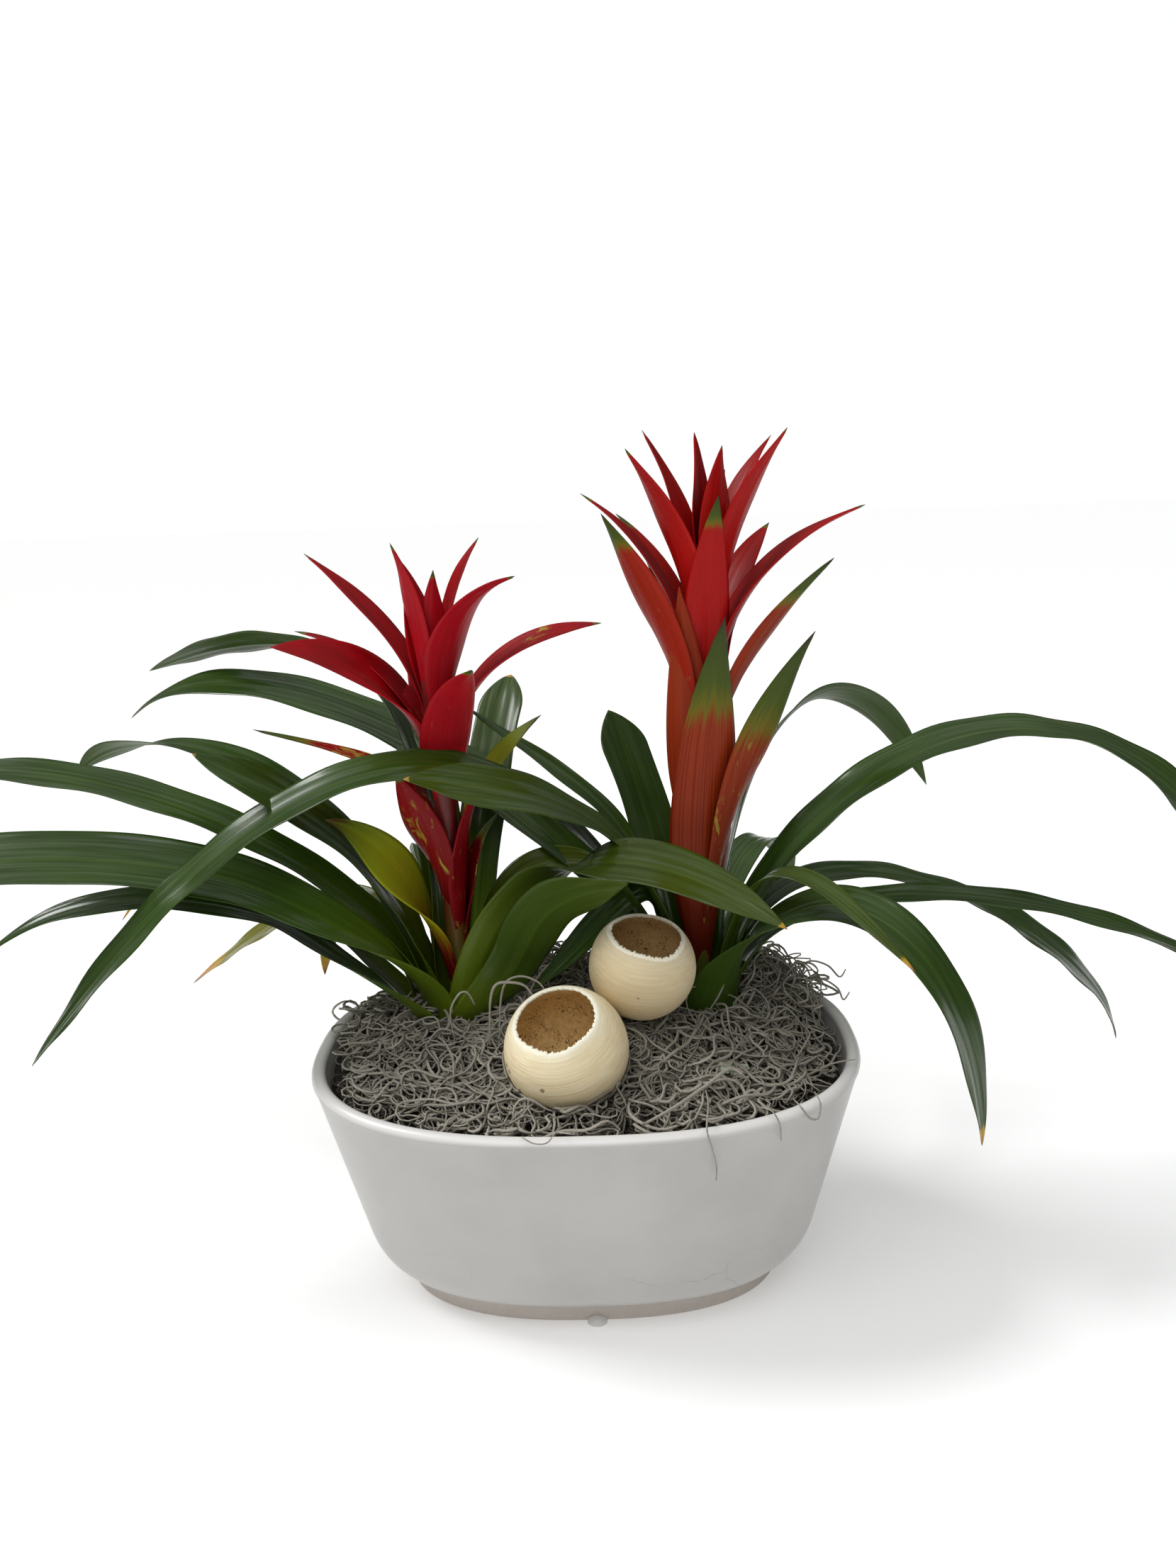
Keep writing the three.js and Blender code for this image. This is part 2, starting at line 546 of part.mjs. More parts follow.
// A bloom: the flower stem with every bract fused to it.
function bloomSolid(plant, bracts) {
  const rings = [];
  for (const z of [STEM_FOOT, CROWN_BASE, 160, 210, lerp(210, plant.top, 0.5), plant.top - 12, plant.top]) {
    const centre = stemAxis(plant, Math.max(z, CROWN_BASE));
    const radius = z === plant.top ? 1.2 : plant.stemRadius;
    rings.push(Array.from({ length: 8 }, (_, i) => {
      const angle = (i / 8) * Math.PI * 2;
      return new THREE.Vector3(centre.x + radius * Math.cos(angle), centre.y + radius * Math.sin(angle), z);
    }));
  }
  const stem = toSolid(ringStack(rings));
  return mainBody(bracts.reduce((solid, bract) => solid.add(bractSolid(plant, bract)), stem));
}

// An upright round post, which may widen to the top.
function post(x, y, z, radius, height, topRadius = radius) {
  const geometry = new THREE.CylinderGeometry(topRadius, radius, height, 20);
  geometry.rotateX(Math.PI / 2);
  geometry.translate(x, y, z + height / 2);
  return toSolid(geometry);
}

const podTurn = (pod) => new THREE.Quaternion().setFromUnitVectors(
  new THREE.Vector3(0, 1, 0),
  new THREE.Vector3(...pod.facing).normalize(),
);

function placePod(geometry, pod) {
  geometry.applyQuaternion(podTurn(pod));
  geometry.translate(pod.x, pod.y, pod.z);
  return geometry;
}

// Points of a ball's profile from one angle at the centre to another, both from the mouth's axis.
function ballProfile(radius, from, to) {
  return Array.from({ length: POD_STEPS + 1 }, (_, i) => {
    const angle = lerp(from, to, i / POD_STEPS);
    const across = radius * Math.sin(angle);
    return new THREE.Vector2(across < 1e-6 ? 0 : across, radius * Math.cos(angle));
  });
}

const mouthAngle = (pod) => Math.asin(pod.mouth / pod.radius);

// The ball that a pod fills, with a gap to spare: the pod's own outline, carried on over the mouth.
function podRoom(pod) {
  const radius = pod.radius + FIT;
  const profile = [...ballProfile(radius, Math.PI, mouthAngle(pod)), new THREE.Vector2(0, radius)];
  return toSolid(placePod(new THREE.LatheGeometry(profile, POD_SIDES), pod));
}

function podGeometry(pod) {
  const inner = pod.radius - pod.wall;
  const innerMouth = Math.asin((pod.mouth - pod.wall * 0.55) / inner);
  const outside = ballProfile(pod.radius, Math.PI, mouthAngle(pod));
  const inside = ballProfile(inner, innerMouth, Math.PI);
  return placePod(new THREE.LatheGeometry([...outside, ...inside], POD_SIDES), pod);
}

// A solid cut clear of a placed neighbour: first by the room kept for it, then by the neighbour moved a gap
// each way.
function clearOf(solid, other) {
  let rest = solid;
  if (rest.intersect(other.room).volume() > 0) {
    rest = mainBody(rest.subtract(other.room));
  }
  if (other.solid && rest.intersect(other.solid).volume() > 0) {
    for (const [x, y, z] of [[1, 0, 0], [-1, 0, 0], [0, 1, 0], [0, -1, 0], [0, 0, 1], [0, 0, -1]]) {
      rest = rest.subtract(other.solid.translate(x * FIT, y * FIT, z * FIT));
    }
    rest = mainBody(rest.subtract(other.solid));
  }
  return rest;
}

// Plants first: what comes later is cut clear of what is already placed.
const fusedBlooms = {};
for (const side of ['left', 'right']) {
  fusedBlooms[side] = bloomSolid(PLANTS[side], BRACTS[side]);
}
const ready = PODS.map((pod) => ({ name: pod.name, room: podRoom(pod) }));
for (const side of ['left', 'right']) {
  const bloom = fusedBlooms[side];
  const colour = side === 'left' ? COLOURS.crimson : COLOURS.scarlet;
  ready.push({ name: `${side}_bloom`, solid: bloom, room: bloom, colour });
}
for (const side of ['left', 'right']) {
  for (const leaf of LEAVES[side]) {
    let solid = leafSolid(PLANTS[side], leaf);
    for (const other of ready) {
      solid = clearOf(solid, other);
    }
    ready.push({ name: leaf.name, solid, room: leafSolid(PLANTS[side], leaf, 4 * FIT), colour: COLOURS.leaf });
  }
}
for (const { name, solid, colour } of ready) {
  if (solid) {
    addPart(name, toGeometry(solid), colour);
  }
}

// Pot and filling, with holes for the stems, room for the leaves and dents under the pods.
const bead = new THREE.SphereGeometry(FOOT_BEAD.radius, 10, 6);
bead.scale(1, 0.8, FOOT_BEAD.height / FOOT_BEAD.radius / 1.2);
bead.translate(2, -(POT.halfDepth - POT.footInset) - 0.4, FOOT_BEAD.height / 2);
const floorCut = post(0, -POT.halfDepth, -10, 60, 10.2);
addPart('pot', toGeometry(toSolid(potGeometry()).add(toSolid(bead).subtract(floorCut))), COLOURS.pot);

let soil = toSolid(soilGeometry());
let moss = mossBed();
const random = seeded(20);
let strands = 0;
while (strands < 14) {
  const points = mossStrand(random);
  if (points.every((p) => insideRim(p, POT.wall + 5))) {
    moss = moss.add(toSolid(tube(points, 1.5, 3)));
    strands += 1;
  }
}
for (const side of ['left', 'right']) {
  const plant = PLANTS[side];
  const hole = post(plant.x, plant.y, STEM_FOOT - FIT, plant.stemRadius + FIT, 60);
  soil = soil.subtract(hole);
  const crown = post(plant.x, plant.y, CROWN_BASE - FIT, CROWN_HOLE[0], 14, CROWN_HOLE[1]);
  moss = moss.subtract(hole).subtract(crown);
}
for (const other of ready) {
  moss = clearOf(moss, other);
}
addPart('soil', toGeometry(soil), COLOURS.soil);
addPart('moss', toGeometry(mainBody(moss)), COLOURS.moss);

for (const pod of PODS) {
  addPart(pod.name, podGeometry(pod), COLOURS.pod);
}

export default parts;
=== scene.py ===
"""A planted bowl: two bromeliads with red blooms in an oval white pot, with grey moss and two seed pods.

Lengths in the tables and in the shape functions are millimetres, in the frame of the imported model: the
origin is the centre of the pot's foot, +X is the pot's long axis, and the front faces -Y. Meshes are written
in metres.
"""

import bpy
import numpy as np
from mathutils import Matrix


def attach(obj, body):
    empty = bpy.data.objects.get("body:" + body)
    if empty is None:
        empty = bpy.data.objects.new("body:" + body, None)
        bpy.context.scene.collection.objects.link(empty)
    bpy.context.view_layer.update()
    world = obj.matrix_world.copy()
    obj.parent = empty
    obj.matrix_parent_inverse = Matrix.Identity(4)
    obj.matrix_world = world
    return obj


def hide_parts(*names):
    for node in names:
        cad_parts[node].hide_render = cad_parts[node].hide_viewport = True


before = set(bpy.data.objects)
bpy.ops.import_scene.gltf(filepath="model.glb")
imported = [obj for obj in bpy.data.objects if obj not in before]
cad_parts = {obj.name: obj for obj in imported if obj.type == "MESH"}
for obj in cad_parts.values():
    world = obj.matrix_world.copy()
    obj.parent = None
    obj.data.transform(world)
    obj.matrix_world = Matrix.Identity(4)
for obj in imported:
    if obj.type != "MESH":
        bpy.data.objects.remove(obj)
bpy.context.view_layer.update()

MM = 0.001

# Pot: a superellipse in plan, drawn in from the rim line by an inset that depends on the height.
HALF_LENGTH, HALF_DEPTH, SQUARENESS = 125.0, 88.7, 2.45
RIM_HEIGHT, WALL, FLOOR = 113.6, 6.2, 9.0
FOOT_HEIGHT, FOOT_INSET = 12.0, 37.0
SKIRT_INSET, SHOULDER_HEIGHT, SHOULDER_INSET = 31.3, 33.4, 18.9

# Moss: a mound from the rim to the plants, with a tuft at the back right.
SOIL_TOP, MOSS_RIM, MOSS_CROWN = 95.0, 106.0, 122.0
TUFT_X, TUFT_Y, TUFT_RADIUS, TUFT_RISE = 88.0, 40.0, 34.0, 14.0
HEAP_X, HEAP_Y, HEAP_RADIUS, HEAP_RISE = -98.0, 12.0, 44.0, 7.0

# Plants: where each flower stem leaves the soil, how far it leans, and how tall it stands.
STEM_FOOT, CROWN_BASE = 72.0, 114.0
PLANTS = {
    "left": {"place": (-60.0, 24.0), "lean": (-3.5, -8.0), "over": 200.0, "top": 292.0, "stem": 5.2},
    "right": {"place": (55.0, 27.0), "lean": (12.5, 0.0), "over": 250.0, "top": 338.0, "stem": 5.6},
}

# Leaves: turn, veer, ring, climb, crest, tip, width, tilt before, tilt after, place of the twist, length of
# the point, and the look: how far lime green climbs from the foot, how much of the tip is dry, and how yellow
# it is.
LEAVES = {
    "left": [
        (143, 0, 1.2, (20, 214), (-24, 343), (232, 266), 21, 30, 32, 0.5, 0.3, (0.28, 0.0, 0.0)),
        (76, 0, 0, (26, 185), (78, 260), (100, 264), 24, 0, 0, 0.5, 0.14, (0.5, 0.02, 0.05)),
        (20, 0, 2, (13, 188), (40, 199), (88, 176), 16, 28, 34, 0.5, 0.35, (0.45, 0.0, 0.2)),
        (196, 0, 2, (17, 204), (80, 238), (109, 256), 26, -20, -28, 0.6, 0.2, (0.55, 0.012, 0.0)),
        (112, 0, 3.6, (16, 200), (28, 268), (100, 228), 24, 0, 0, 0.5, 0.3, (0.5, 0.0, 0.1)),
        (166, 0, 4, (40, 256), (168, 264), (198, 229), 23, -4, 26, 0.8, 0.16, (0.3, 0.0, 0.0)),
        (-23, -40, 4, (16, 190), (75, 230), (160, 180), 27, -42, 26, 0.5, 0.3, (0.5, 0.02, 0.12)),
        (180, 0, 5.2, (17, 190), (177, 270), (262, 236), 21.5, -18, -18, 0.5, 0.3, (0.36, 0.0, 0.0)),
        (52, 0, 6, (36, 157), (100, 204), (146, 140), 24, 0, 0, 0.5, 0.3, (0.4, 0.03, 0.1)),
        (174, 0, 8.4, (52, 152), (112, 232), (168, 162), 16, -6, 0, 0.5, 0.4, (0.3, 0.06, 0.1)),
        (190, 38, 6.5, (22, 196), (218, 243), (286, 186), 30, -36, -34, 0.5, 0.3, (0.32, 0.0, 0.0)),
        (-37, -26, 5.6, (56, 174), (40, 181), (102, 202), 28, -40, -50, 0.6, 0.35, (0.34, 0.0, 0.05)),
        (150, 0, 8.6, (22, 174), (74, 190), (89, 118), 15, 0, 0, 0.5, 0.25, (0.4, 0.12, 0.9)),
        (188, 40, 9.7, (58, 181), (158, 210), (214, 164), 18, -14, -20, 0.5, 0.4, (0.2, 0.0, 0.0)),
        (150, 0, 10, (36, 182), (68, 186), (193, 92), 20, -26, -30, 0.5, 0.5, (0.3, 0.2, 1.0)),
        (104, 0, 6, (30, 180), (100, 200), (146, 132), 24, 0, 0, 0.5, 0.3, (0.4, 0.03, 0.1)),
    ],
    "right": [
        (170, 0, 0, (21, 217), (51, 220), (109, 263), 13, -14, -18, 0.5, 0.4, (0.15, 0.0, 0.0)),
        (134, 0, 1, (12, 166), (43, 234), (57, 254), 30, 0, 0, 0.5, 0.14, (0.14, 0.0, 0.0)),
        (200, 22, 5, (15, 206), (54, 230), (135, 245), 27, -14, -34, 0.68, 0.2, (0.1, 0.014, 0.06)),
        (38, 0, 2, (14, 270), (103, 299), (171, 193), 16, -38, -38, 0.6, 0.25, (0.1, 0.0, 0.0)),
        (160, 0, 1.2, (46, 222), (250, 307), (323, 244), 27, -30, -18, 0.45, 0.15, (0.08, 0.0, 0.0)),
        (8, 0, 4, (18, 224), (198, 331), (292, 127), 31, 8, 46, 0.7, 0.22, (0.1, 0.0, 0.0)),
        (192, 0, 2.2, (37, 216), (127, 345), (303, 125), 25, 14, -18, 0.2, 0.2, (0.1, 0.0, 0.0)),
        (64, 0, 4.8, (15, 184), (110, 196), (150, 130), 20, 0, 0, 0.5, 0.3, (0.14, 0.02, 0.0)),
        (13, 0, 6, (17, 248), (222, 129), (233, 63), 23, 6, 30, 0.6, 0.2, (0.1, 0.0, 0.0)),
        (192, 0, 6, (17, 210), (24, 182), (81, 133), 15, -30, -40, 0.5, 0.35, (0.14, 0.0, 0.0)),
        (-3, 0, 7.4, (19, 207), (210, 170), (262, 116), 19, 7, 7, 0.5, 0.3, (0.1, 0.0, 0.0)),
        (-42, -24, 9.2, (20, 206), (50, 212), (113, 163), 12.5, 5, 8, 0.5, 0.4, (0.25, 0.06, 0.12)),
        (-28, -48, 10.6, (23, 204), (128, 204), (135, 74), 24, 26, 14, 0.55, 0.3, (0.05, 0.05, 0.0)),
    ],
}

# Bracts: turn, foot, climb, crest, tip, width, tilt, and the look: how much of the tip is green, how mottled
# with yellow, and how orange and ribbed.
BRACTS = {
    "left": [
        (200, 128, (8, 165), (34, 214), (56, 221), 32, -50, (0.74, 0.1, 0.3)),
        (20, 140, (8, 175), (8, 200), (24, 214), 22, 0, (0.2, 0.2, 0.3)),
        (172, 165, (7, 200), (10, 226), (19, 240), 18, 0, (0.1, 0.35, 0.3)),
        (-20, 150, (6, 195), (6, 218), (20, 232), 20, 0, (0.0, 0.1, 0.15)),
        (212, 165, (5, 190), (14, 216), (24, 240), 24, 45, (0.06, 0.3, 0.6)),
        (12, 190, (8, 222), (22, 244), (46, 260), 15, 25, (0.55, 0.4, 0.3)),
        (175, 200, (8, 240), (42, 246), (88, 258), 14, 0, (0.26, 0.5, 0.1)),
        (-62, 215, (6, 262), (20, 280), (44, 290), 26, 0, (0.06, 0.06, 0.0)),
        (60, 222, (6, 252), (12, 270), (28, 279), 20, 0, (0.1, 0.3, 0.0)),
        (-14, 228, (6, 255), (12, 268), (22, 281), 12, 0, (0.12, 0.3, 0.0)),
        (112, 225, (6, 262), (18, 284), (46, 294), 20, 0, (0.05, 0.1, 0.0)),
        (192, 228, (6, 268), (30, 296), (70, 299), 31, -36, (0.0, 0.0, 0.0)),
        (4, 232, (6, 272), (28, 300), (75, 302), 20, 20, (0.03, 0.12, 0.0)),
        (168, 236, (8, 276), (34, 296), (66, 302), 16, 0, (0.06, 0.1, 0.0)),
        (-36, 252, (6, 292), (14, 318), (50, 327), 25, 0, (0.03, 0.0, 0.0)),
        (160, 250, (6, 287), (24, 309), (62, 336), 16, 0, (0.03, 0.0, 0.0)),
        (130, 254, (6, 294), (10, 316), (22, 332), 18, 0, (0.03, 0.0, 0.0)),
        (215, 262, (7, 300), (8, 322), (16, 341), 19, 0, (0.04, 0.0, 0.0)),
        (25, 262, (6, 300), (8, 320), (25, 341), 17, 0, (0.03, 0.0, 0.0)),
        (-60, 268, (6, 296), (4, 316), (9, 329), 14, 0, (0.06, 0.0, 0.0)),
    ],
    "right": [
        (-68, 128, (8, 190), (10, 262), (29, 306), 34, 0, (0.27, 0.0, 1.0)),
        (95, 132, (8, 180), (10, 224), (28, 248), 25, 0, (0.0, 0.0, 0.9)),
        (-15, 140, (8, 196), (24, 252), (53, 297), 25, -46, (0.34, 0.2, 1.0)),
        (142, 150, (8, 205), (10, 220), (14, 236), 20, 0, (0.0, 0.0, 0.8)),
        (240, 170, (8, 225), (8, 275), (16, 318), 25, 12, (0.0, 0.0, 0.9)),
        (-12, 226, (6, 262), (24, 296), (58, 328), 22, -26, (0.25, 0.0, 0.9)),
        (198, 232, (8, 280), (22, 312), (45, 350), 25, 24, (0.15, 0.08, 0.4)),
        (-78, 236, (8, 290), (10, 330), (27, 356), 23, 0, (0.12, 0.0, 0.0)),
        (26, 244, (8, 284), (14, 302), (25, 317), 15, 0, (0.25, 0.0, 0.1)),
        (140, 246, (6, 292), (18, 328), (48, 348), 20, 0, (0.1, 0.0, 0.1)),
        (168, 254, (6, 300), (20, 336), (54, 358), 17, 0, (0.05, 0.0, 0.0)),
        (5, 258, (6, 304), (27, 334), (72, 349), 25, 0, (0.03, 0.0, 0.0)),
        (50, 262, (6, 300), (27, 326), (53, 341), 21, 0, (0.05, 0.0, 0.0)),
        (78, 272, (6, 318), (12, 348), (40, 366), 20, 0, (0.03, 0.0, 0.0)),
        (208, 276, (6, 320), (16, 346), (39, 376), 24, 0, (0.03, 0.0, 0.0)),
        (-30, 284, (6, 328), (15, 353), (37, 382), 25, 0, (0.02, 0.0, 0.0)),
        (145, 292, (6, 336), (14, 356), (33, 384), 14, 0, (0.02, 0.0, 0.0)),
        (40, 294, (6, 340), (15, 358), (40, 380), 14, 0, (0.02, 0.0, 0.0)),
        (150, 304, (6, 336), (4, 360), (7, 382), 21, 0, (0.02, 0.0, 0.0)),
        (-52, 304, (6, 336), (3, 358), (8, 376), 19, 0, (0.02, 0.0, 0.0)),
        (30, 306, (6, 334), (4, 354), (8, 366), 14, 0, (0.02, 0.0, 0.0)),
    ],
}

# Seed pods: centre, radius, radius of the mouth, wall, the way the mouth faces, and a seed.
PODS = {
    "front": ((-7.2, -38.0, 127.6), 27.0, 17.5, 2.8, (-0.18, -0.41, 0.89), 3),
    "back": ((27.0, -8.0, 151.8), 24.1, 16.6, 2.6, (0.14, -0.21, 0.967), 8),
}
POD_FLAWS = [
    ((-16.7, -62.6, 121.6), 1.2),
    ((-30.9, -50.4, 124.1), 1.3),
    ((-32.0, -48.0, 126.0), 1.2),
    ((24.4, -31.5, 147.0), 0.6),
]

# Blades: thickness, steps along the midline, and steps across.
LEAF_BLADE = (0.8, 96, 18)
BRACT_BLADE = (1.1, 46, 14)

# Rows of a pod's skin: outside, over the lip, and inside.
POD_OUTSIDE, POD_LIP, POD_INSIDE = 64, 5, 32


def lerp(low, high, share):
    return low + (high - low) * share


def smooth(value, low, high):
    """0 below low, 1 above high, and an S-shaped rise between them."""
    share = np.clip((value - low) / (high - low), 0, 1)
    return share * share * (3 - 2 * share)


def unit(vectors):
    return vectors / np.linalg.norm(vectors, axis=-1, keepdims=True)


def around(count):
    """Equal angles round a full turn."""
    return np.linspace(0, 2 * np.pi, count, endpoint=False)


def waves(angle, counts, seed, fade=0.8):
    """A sum of cosines of angle, one for each count, with seeded phases and strengths count ** -fade."""
    random = np.random.default_rng(seed)
    total = sum(
        count ** -fade * np.cos(count * angle + random.uniform(0, 2 * np.pi)) for count in counts
    )
    return total / sum(count ** -fade for count in counts)


def outward(points, faces):
    """The same quads, turned the other way round if the closed skin's signed volume is below zero."""
    a, b, c, d = (points[faces[:, k]] for k in range(4))
    volume = np.einsum("ij,ij->i", a, np.cross(b, c)).sum() + np.einsum("ij,ij->i", a, np.cross(c, d)).sum()
    return faces[:, ::-1] if volume < 0 else faces


def grid_faces(rows, columns):
    """Quads between neighbouring rows of a grid whose columns run round and close on themselves."""
    row, column = np.meshgrid(np.arange(rows - 1), np.arange(columns), indexing="ij")
    near = row * columns + column
    beside = row * columns + (column + 1) % columns
    return np.stack([near, beside, beside + columns, near + columns], -1).reshape(-1, 4)


def joined(skins):
    """Several skins, each (points, faces, values), as one."""
    starts = np.cumsum([0] + [len(skin[0]) for skin in skins[:-1]])
    points = np.concatenate([skin[0] for skin in skins])
    faces = np.concatenate([skin[1] + start for skin, start in zip(skins, starts)])
    values = {key: np.concatenate([skin[2][key] for skin in skins]) for key in skins[0][2]}
    return points, faces, values


def add_object(name, data):
    thing = bpy.data.objects.new(name, data)
    bpy.context.scene.collection.objects.link(thing)
    return thing


def make_piece(name, skin, finish, nodes=()):
    """A mesh object at the origin from one skin. A face whose last two corners are alike is a triangle."""
    points, faces, values = skin
    size = np.where(faces[:, 3] == faces[:, 2], 3, 4)
    corners = faces.reshape(-1)[(np.arange(4)[None, :] < size[:, None]).reshape(-1)]
    mesh = bpy.data.meshes.new(name)
    mesh.vertices.add(len(points))
    mesh.vertices.foreach_set("co", (points * MM).astype(np.float32).ravel())
    mesh.loops.add(len(corners))
    mesh.loops.foreach_set("vertex_index", corners.astype(np.int32))
    mesh.polygons.add(len(faces))
    mesh.polygons.foreach_set("loop_start", np.concatenate([[0], np.cumsum(size)[:-1]]).astype(np.int32))
    mesh.polygons.foreach_set("use_smooth", np.ones(len(faces), bool))
    for key, value in values.items():
        attribute = mesh.attributes.new(key, "FLOAT_VECTOR", "POINT")
        attribute.data.foreach_set("vector", value.astype(np.float32).ravel())
    mesh.update(calc_edges=True)
    mesh.validate()
    mesh.materials.append(finish)
    piece = add_object(name, mesh)
    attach(piece, "root")
    if nodes:
        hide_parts(*nodes)
    return piece


class Value:
    """An output of a shader node. Arithmetic on it adds Math nodes and gives the result as a new Value."""

    def __init__(self, finish, socket):
        self.finish = finish
        self.socket = socket

    def out(self, name):
        """Another output of the same node."""
        return Value(self.finish, self.socket.node.outputs[name])

    def _math(self, operation, *values):
        return self.finish.node("ShaderNodeMath", {"operation": operation}, dict(enumerate(values)))

    def __add__(self, other):
        return self._math("ADD", self, other)

    def __sub__(self, other):
        return self._math("SUBTRACT", self, other)

    def __mul__(self, other):
        return self._math("MULTIPLY", self, other)

    def __truediv__(self, other):
        return self._math("DIVIDE", self, other)

    def __radd__(self, other):
        return self._math("ADD", other, self)

    def __rsub__(self, other):
        return self._math("SUBTRACT", other, self)

    def __rmul__(self, other):
        return self._math("MULTIPLY", other, self)

    def abs(self):
        return self._math("ABSOLUTE", self)

    def above(self, low, high):
        """0 below low, 1 above high, and an S-shaped rise between them."""
        settings = {"interpolation_type": "SMOOTHSTEP"}
        sockets = {"Value": self, "From Min": low, "From Max": high}
        return self.finish.node("ShaderNodeMapRange", settings, sockets)

    def below(self, low, high):
        return 1 - self.above(low, high)


class Finish:
    """A material with a Principled shader, whose other nodes come from node()."""

    def __init__(self, name):
        self.material = bpy.data.materials.new(name)
        self.material.use_nodes = True
        self.tree = self.material.node_tree
        self.shader = self.tree.nodes["Principled BSDF"]

    def link(self, value, socket):
        if isinstance(value, Value):
            self.tree.links.new(value.socket, socket)
        elif isinstance(value, tuple) and len(socket.default_value) == 4:
            socket.default_value = (*value, 1)
        else:
            socket.default_value = value

    def node(self, kind, settings=None, sockets=None):
        """Adds a node with its settings, among them a ramp's stops, and then its sockets' values or links."""
        node = self.tree.nodes.new(kind)
        for key, setting in (settings or {}).items():
            if key == "stops":
                elements = node.color_ramp.elements
                while len(elements) < len(setting):
                    elements.new(1.0)
                for element, (position, colour) in zip(elements, setting):
                    element.position = position
                    element.color = (*colour, 1)
            else:
                setattr(node, key, setting)
        for key, value in (sockets or {}).items():
            self.link(value, node.inputs[key])
        return Value(self, next(output for output in node.outputs if output.enabled))

    def attribute(self, name):
        """The three numbers that each point of the piece carries under a name."""
        vector = self.node("ShaderNodeAttribute", {"attribute_name": name}).out("Vector")
        split = self.node("ShaderNodeSeparateXYZ", None, {0: vector})
        return split.out("X"), split.out("Y"), split.out("Z")

    def place(self):
        """The object's own coordinates in millimetres."""
        coordinates = self.node("ShaderNodeTexCoord").out("Object")
        return self.vector_math("SCALE", coordinates, Scale=1 / MM)

    def height(self, place):
        """The height over the floor in millimetres."""
        return self.node("ShaderNodeSeparateXYZ", None, {0: place}).out("Z")

    def vector_math(self, operation, *vectors, **sockets):
        settings = {"operation": operation}
        return self.node("ShaderNodeVectorMath", settings, {**dict(enumerate(vectors)), **sockets})

    def cells(self, vector, scale, feature="F1"):
        """Distance from the nearest seed of a cell pattern, or with DISTANCE_TO_EDGE from its edge."""
        sockets = {"Vector": vector, "Scale": scale}
        return self.node("ShaderNodeTexVoronoi", {"feature": feature}, sockets).out("Distance")

    def vector(self, x, y, z):
        return self.node("ShaderNodeCombineXYZ", None, {0: x, 1: y, 2: z})

    def noise(self, vector, scale, detail=3.0, roughness=0.55, distortion=0.0):
        sockets = {"Vector": vector, "Scale": scale, "Detail": detail, "Roughness": roughness}
        return self.node("ShaderNodeTexNoise", None, {**sockets, "Distortion": distortion})

    def mix(self, share, low, high):
        """The colour low where share is 0 and high where it is 1."""
        return self.node("ShaderNodeMix", {"data_type": "RGBA"}, {0: share, 6: low, 7: high})

    def ramp(self, value, *stops):
        return self.node("ShaderNodeValToRGB", {"stops": stops}, {0: value})

    def bump(self, height, depth, strength=1.0):
        """A normal from a height between 0 and 1 that stands depth millimetres tall."""
        sockets = {"Height": height, "Distance": depth * MM, "Strength": strength}
        return self.node("ShaderNodeBump", None, sockets)

    def set(self, **sockets):
        """Sets the shader's sockets, named with _ for a space."""
        for key, value in sockets.items():
            self.link(value, self.shader.inputs[key.replace("_", " ")])
        return self.material


def leaf_finish():
    """Waxy green strap leaf: lime at the foot, fine lengthwise veins, a dull underside and a dry tip."""
    f = Finish("leaf_green")
    across, along, seed = f.attribute("lay")
    share, side, under = f.attribute("share")
    lime, dry, yellow = f.attribute("look")
    streaks = f.noise(f.vector(across * 0.55, along * 0.012, seed), 1.0, 3.0)
    veins = f.noise(f.vector(across * 2.6, along * 0.02, seed + 7), 1.0, 2.0)
    patches = f.noise(f.vector(across * 0.03, along * 0.022, seed + 3), 1.0, 2.0)
    tone = patches * 0.7 + streaks * 0.5 - 0.1
    green = f.mix(tone.above(0.2, 0.8), (0.012, 0.029, 0.002), (0.032, 0.073, 0.005))
    green = f.mix(veins.above(0.35, 0.75) * 0.35, green, (0.050, 0.108, 0.008))
    back = f.mix(streaks, (0.026, 0.055, 0.004), (0.050, 0.094, 0.008))
    green = f.mix(under * 0.8, green, back)
    midrib = side.abs().below(0.02, 0.11)
    green = f.mix(midrib * 0.3, green, (0.060, 0.125, 0.009))
    foot = (share + patches * 0.12 - 0.06).below(0.1 * lime, lime)
    green = f.mix(foot * 0.85, green, f.mix(streaks, (0.065, 0.110, 0.004), (0.15, 0.21, 0.008)))
    green = f.mix(yellow * (0.2 + 0.6 * share), green, (0.26, 0.24, 0.012))
    wither = (share - 1 + dry) / (dry + 0.001) + (streaks - 0.5) * 0.5
    dried = f.ramp(
        wither,
        (0.0, (0.16, 0.17, 0.012)),
        (0.35, (0.48, 0.30, 0.02)),
        (0.62, (0.50, 0.26, 0.05)),
        (0.82, (0.33, 0.13, 0.04)),
        (1.0, (0.07, 0.025, 0.012)),
    )
    withered = wither.above(0.0, 0.3) * dry.above(0.005, 0.02)
    colour = f.mix(withered, green, dried)
    spots = f.noise(f.vector(across * 0.5, along * 0.35, seed), 1.0, 2.0).above(0.66, 0.72)
    colour = f.mix(spots * yellow * 0.7, colour, (0.08, 0.03, 0.012))
    rough = 0.3 + streaks * 0.14 + under * 0.1 + withered * 0.25
    height = streaks * 0.55 + veins * 0.45
    return f.set(
        Base_Color=colour,
        Roughness=rough,
        Normal=f.bump(height, 0.32, 0.55),
        Specular_IOR_Level=0.12,
        Coat_Weight=(streaks.above(0.34, 0.7) * 0.8 + 0.16) * (1 - under * 0.6),
        Coat_Roughness=0.19,
    )


